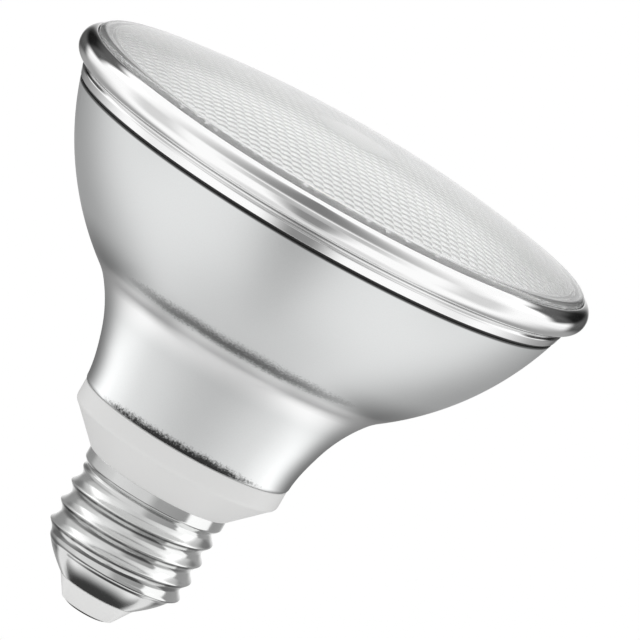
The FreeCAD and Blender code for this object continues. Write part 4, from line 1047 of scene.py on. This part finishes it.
def azimuth_of(x, y):
    """Angle round the axis from the camera's side, in radians."""
    return calculate("ARCTAN2", x, product(y, -1.0))


def near(value, middle, full, end):
    """1 where value lies within full of middle, falling softly to 0 at end (degrees)."""
    away = calculate("ABSOLUTE", less(value, radians(middle)))
    return fall(away, radians(full), radians(end))


def make_room():
    """World: white to camera and glass, level light on matt surfaces, and the zones to metal."""
    world = bpy.data.worlds.new("white_room")
    bpy.context.scene.world = world
    world.use_nodes = True
    tree = world.node_tree
    x, y, z = parts_of(node(tree, "ShaderNodeTexCoord").outputs["Generated"])
    azimuth = calculate("ABSOLUTE", azimuth_of(x, y))
    height = calculate("ARCSINE", z)
    level = BRIGHT_LEVEL
    for *sideways, middle, full, end, darkness in ZONES:
        cover = product(near(azimuth, *sideways), near(height, middle, full, end), darkness)
        level = product(level, less(1.0, cover))
    path = node(tree, "ShaderNodeLightPath").outputs
    clear = calculate("MAXIMUM", path["Is Camera Ray"], path["Is Transmission Ray"])
    unclear = less(1.0, clear)
    metal = product(path["Is Glossy Ray"], unclear)
    matt = less(unclear, metal)
    total = calculate("ADD", product(metal, level), clear)
    total = calculate("ADD", total, product(matt, ROOM_LEVEL))
    feed(tree.nodes["Background"], {"Color": grey(1.0), "Strength": total})


def levels_of(turn, levels):
    """Colour ramp from (azimuth, level) pairs, -180 to 180 degrees, read at a turn of 0 to 1. It holds half
    of each level, because a ramp's colours end at 1."""
    ramp = fed_node("ShaderNodeValToRGB", {"Fac": turn})
    ramp.color_ramp.interpolation = "EASE"
    marks = ramp.color_ramp.elements
    for azimuth, _ in levels[1:-1]:
        marks.new(azimuth / 360 + 0.5)
    for mark, (_, level) in zip(marks, levels):
        mark.color = grey(level / 2)
    return product(ramp.outputs["Color"], 2.0)


def make_wall():
    """Upright wall close round the base, seen from inside only: dark at its foot, then one run of levels for
    the shell and another for the neck, and it fades out at its top. Beside the cone its sides are light."""
    count = WALL_COLUMNS + 1
    turn = np.arange(count) * TURN / WALL_COLUMNS - pi
    ring = np.stack([WALL_R * np.sin(turn), -WALL_R * np.cos(turn)], 1)
    points = np.concatenate([np.c_[ring, np.full(count, z)] for z in (WALL_LOW, WALL_END[1])])
    step = np.arange(WALL_COLUMNS)
    faces = np.stack([step + count, step + count + 1, step + 1, step], 1)
    tree = stage_card("base_wall", points, faces)
    x, y, z = parts_of(object_point(tree))
    azimuth = azimuth_of(x, y)
    sideways = calculate("ABSOLUTE", azimuth)
    share = calculate("ADD", calculate("DIVIDE", azimuth, TURN), 0.5)
    level = drawn_to(levels_of(share, SHELL_LEVELS), levels_of(share, NECK_LEVELS), spread(z, *WALL_SPLIT))
    foot = spread(sideways, *WALL_FOOT_AZIMUTH, WALL_FOOT_LEVEL, WALL_FOOT_SIDE_LEVEL)
    level = product(level, spread(z, *WALL_FOOT, foot, 1.0))
    side = product(spread(sideways, *CONE_SIDE_AZIMUTH), fall(z, *CONE_SIDE))
    glow = fed_node("ShaderNodeEmission", {"Strength": drawn_to(level, CONE_SIDE_LEVEL, side)})
    outside = node(tree, "ShaderNodeNewGeometry").outputs["Backfacing"]
    let_through(calculate("MAXIMUM", outside, spread(z, *WALL_END)), glow)


def make_disc():
    """Dark disc under the base with a soft edge, seen only in reflections, where it stands for the shade
    under the lamp.
    """
    corners = 48
    points = level_disc(DISC_EDGE_R, -DISC_DROP, corners, DISC_BACK)
    tree = stage_card("base_disc", points, [range(corners)])
    x, y, _ = parts_of(object_point(tree))
    away = distance(x, less(y, DISC_BACK))
    glow = node(tree, "ShaderNodeEmission")
    feed(glow, {"Strength": DISC_GLOW})
    let_through(spread(away, DISC_CORE_R, DISC_EDGE_R), glow)


make_floor()
make_room()
make_wall()
make_disc()


def place_camera():
    """Camera at a set distance and rise from the rim's middle, aimed so that the middle falls on its pixel,
    then rolled."""
    data = bpy.data.cameras.new("camera")
    data.sensor_width = SENSOR_WIDTH
    data.lens = LENS_LENGTH
    data.clip_start, data.clip_end = CLIP_START, CLIP_END
    camera = place_object("camera", data)
    bpy.context.scene.camera = camera
    across, down = RIM_PIXEL[0] - PICTURE_SIZE / 2, RIM_PIXEL[1] - PICTURE_SIZE / 2
    right = across * cos(CAMERA_ROLL) + down * sin(CAMERA_ROLL)
    up = across * sin(CAMERA_ROLL) - down * cos(CAMERA_ROLL)
    ahead = LENS_LENGTH / SENSOR_WIDTH * PICTURE_SIZE
    reach = sqrt(right ** 2 + up ** 2 + ahead ** 2)
    right, up, ahead = right / reach, up / reach, ahead / reach
    pitch = -asin(sin(CAMERA_RISE) / hypot(up, ahead)) - atan2(up, ahead)
    yaw = atan2(-right, ahead * cos(pitch) - up * sin(pitch))
    forward = Vector((sin(yaw) * cos(pitch), cos(yaw) * cos(pitch), sin(pitch)))
    level = Vector((cos(yaw), -sin(yaw), 0))
    above = level.cross(forward)
    side = level * cos(CAMERA_ROLL) + above * sin(CAMERA_ROLL)
    top = above * cos(CAMERA_ROLL) - level * sin(CAMERA_ROLL)
    rim_middle = Vector((0, 0, RIM_Z * MM))
    back = Vector((0, -cos(CAMERA_RISE), sin(CAMERA_RISE))) * CAMERA_DISTANCE
    turn = Matrix((side, top, -forward)).transposed().to_4x4()
    camera.matrix_world = Matrix.Translation(rim_middle + back) @ turn


place_camera()
bpy.context.scene.view_settings.view_transform = "Standard"
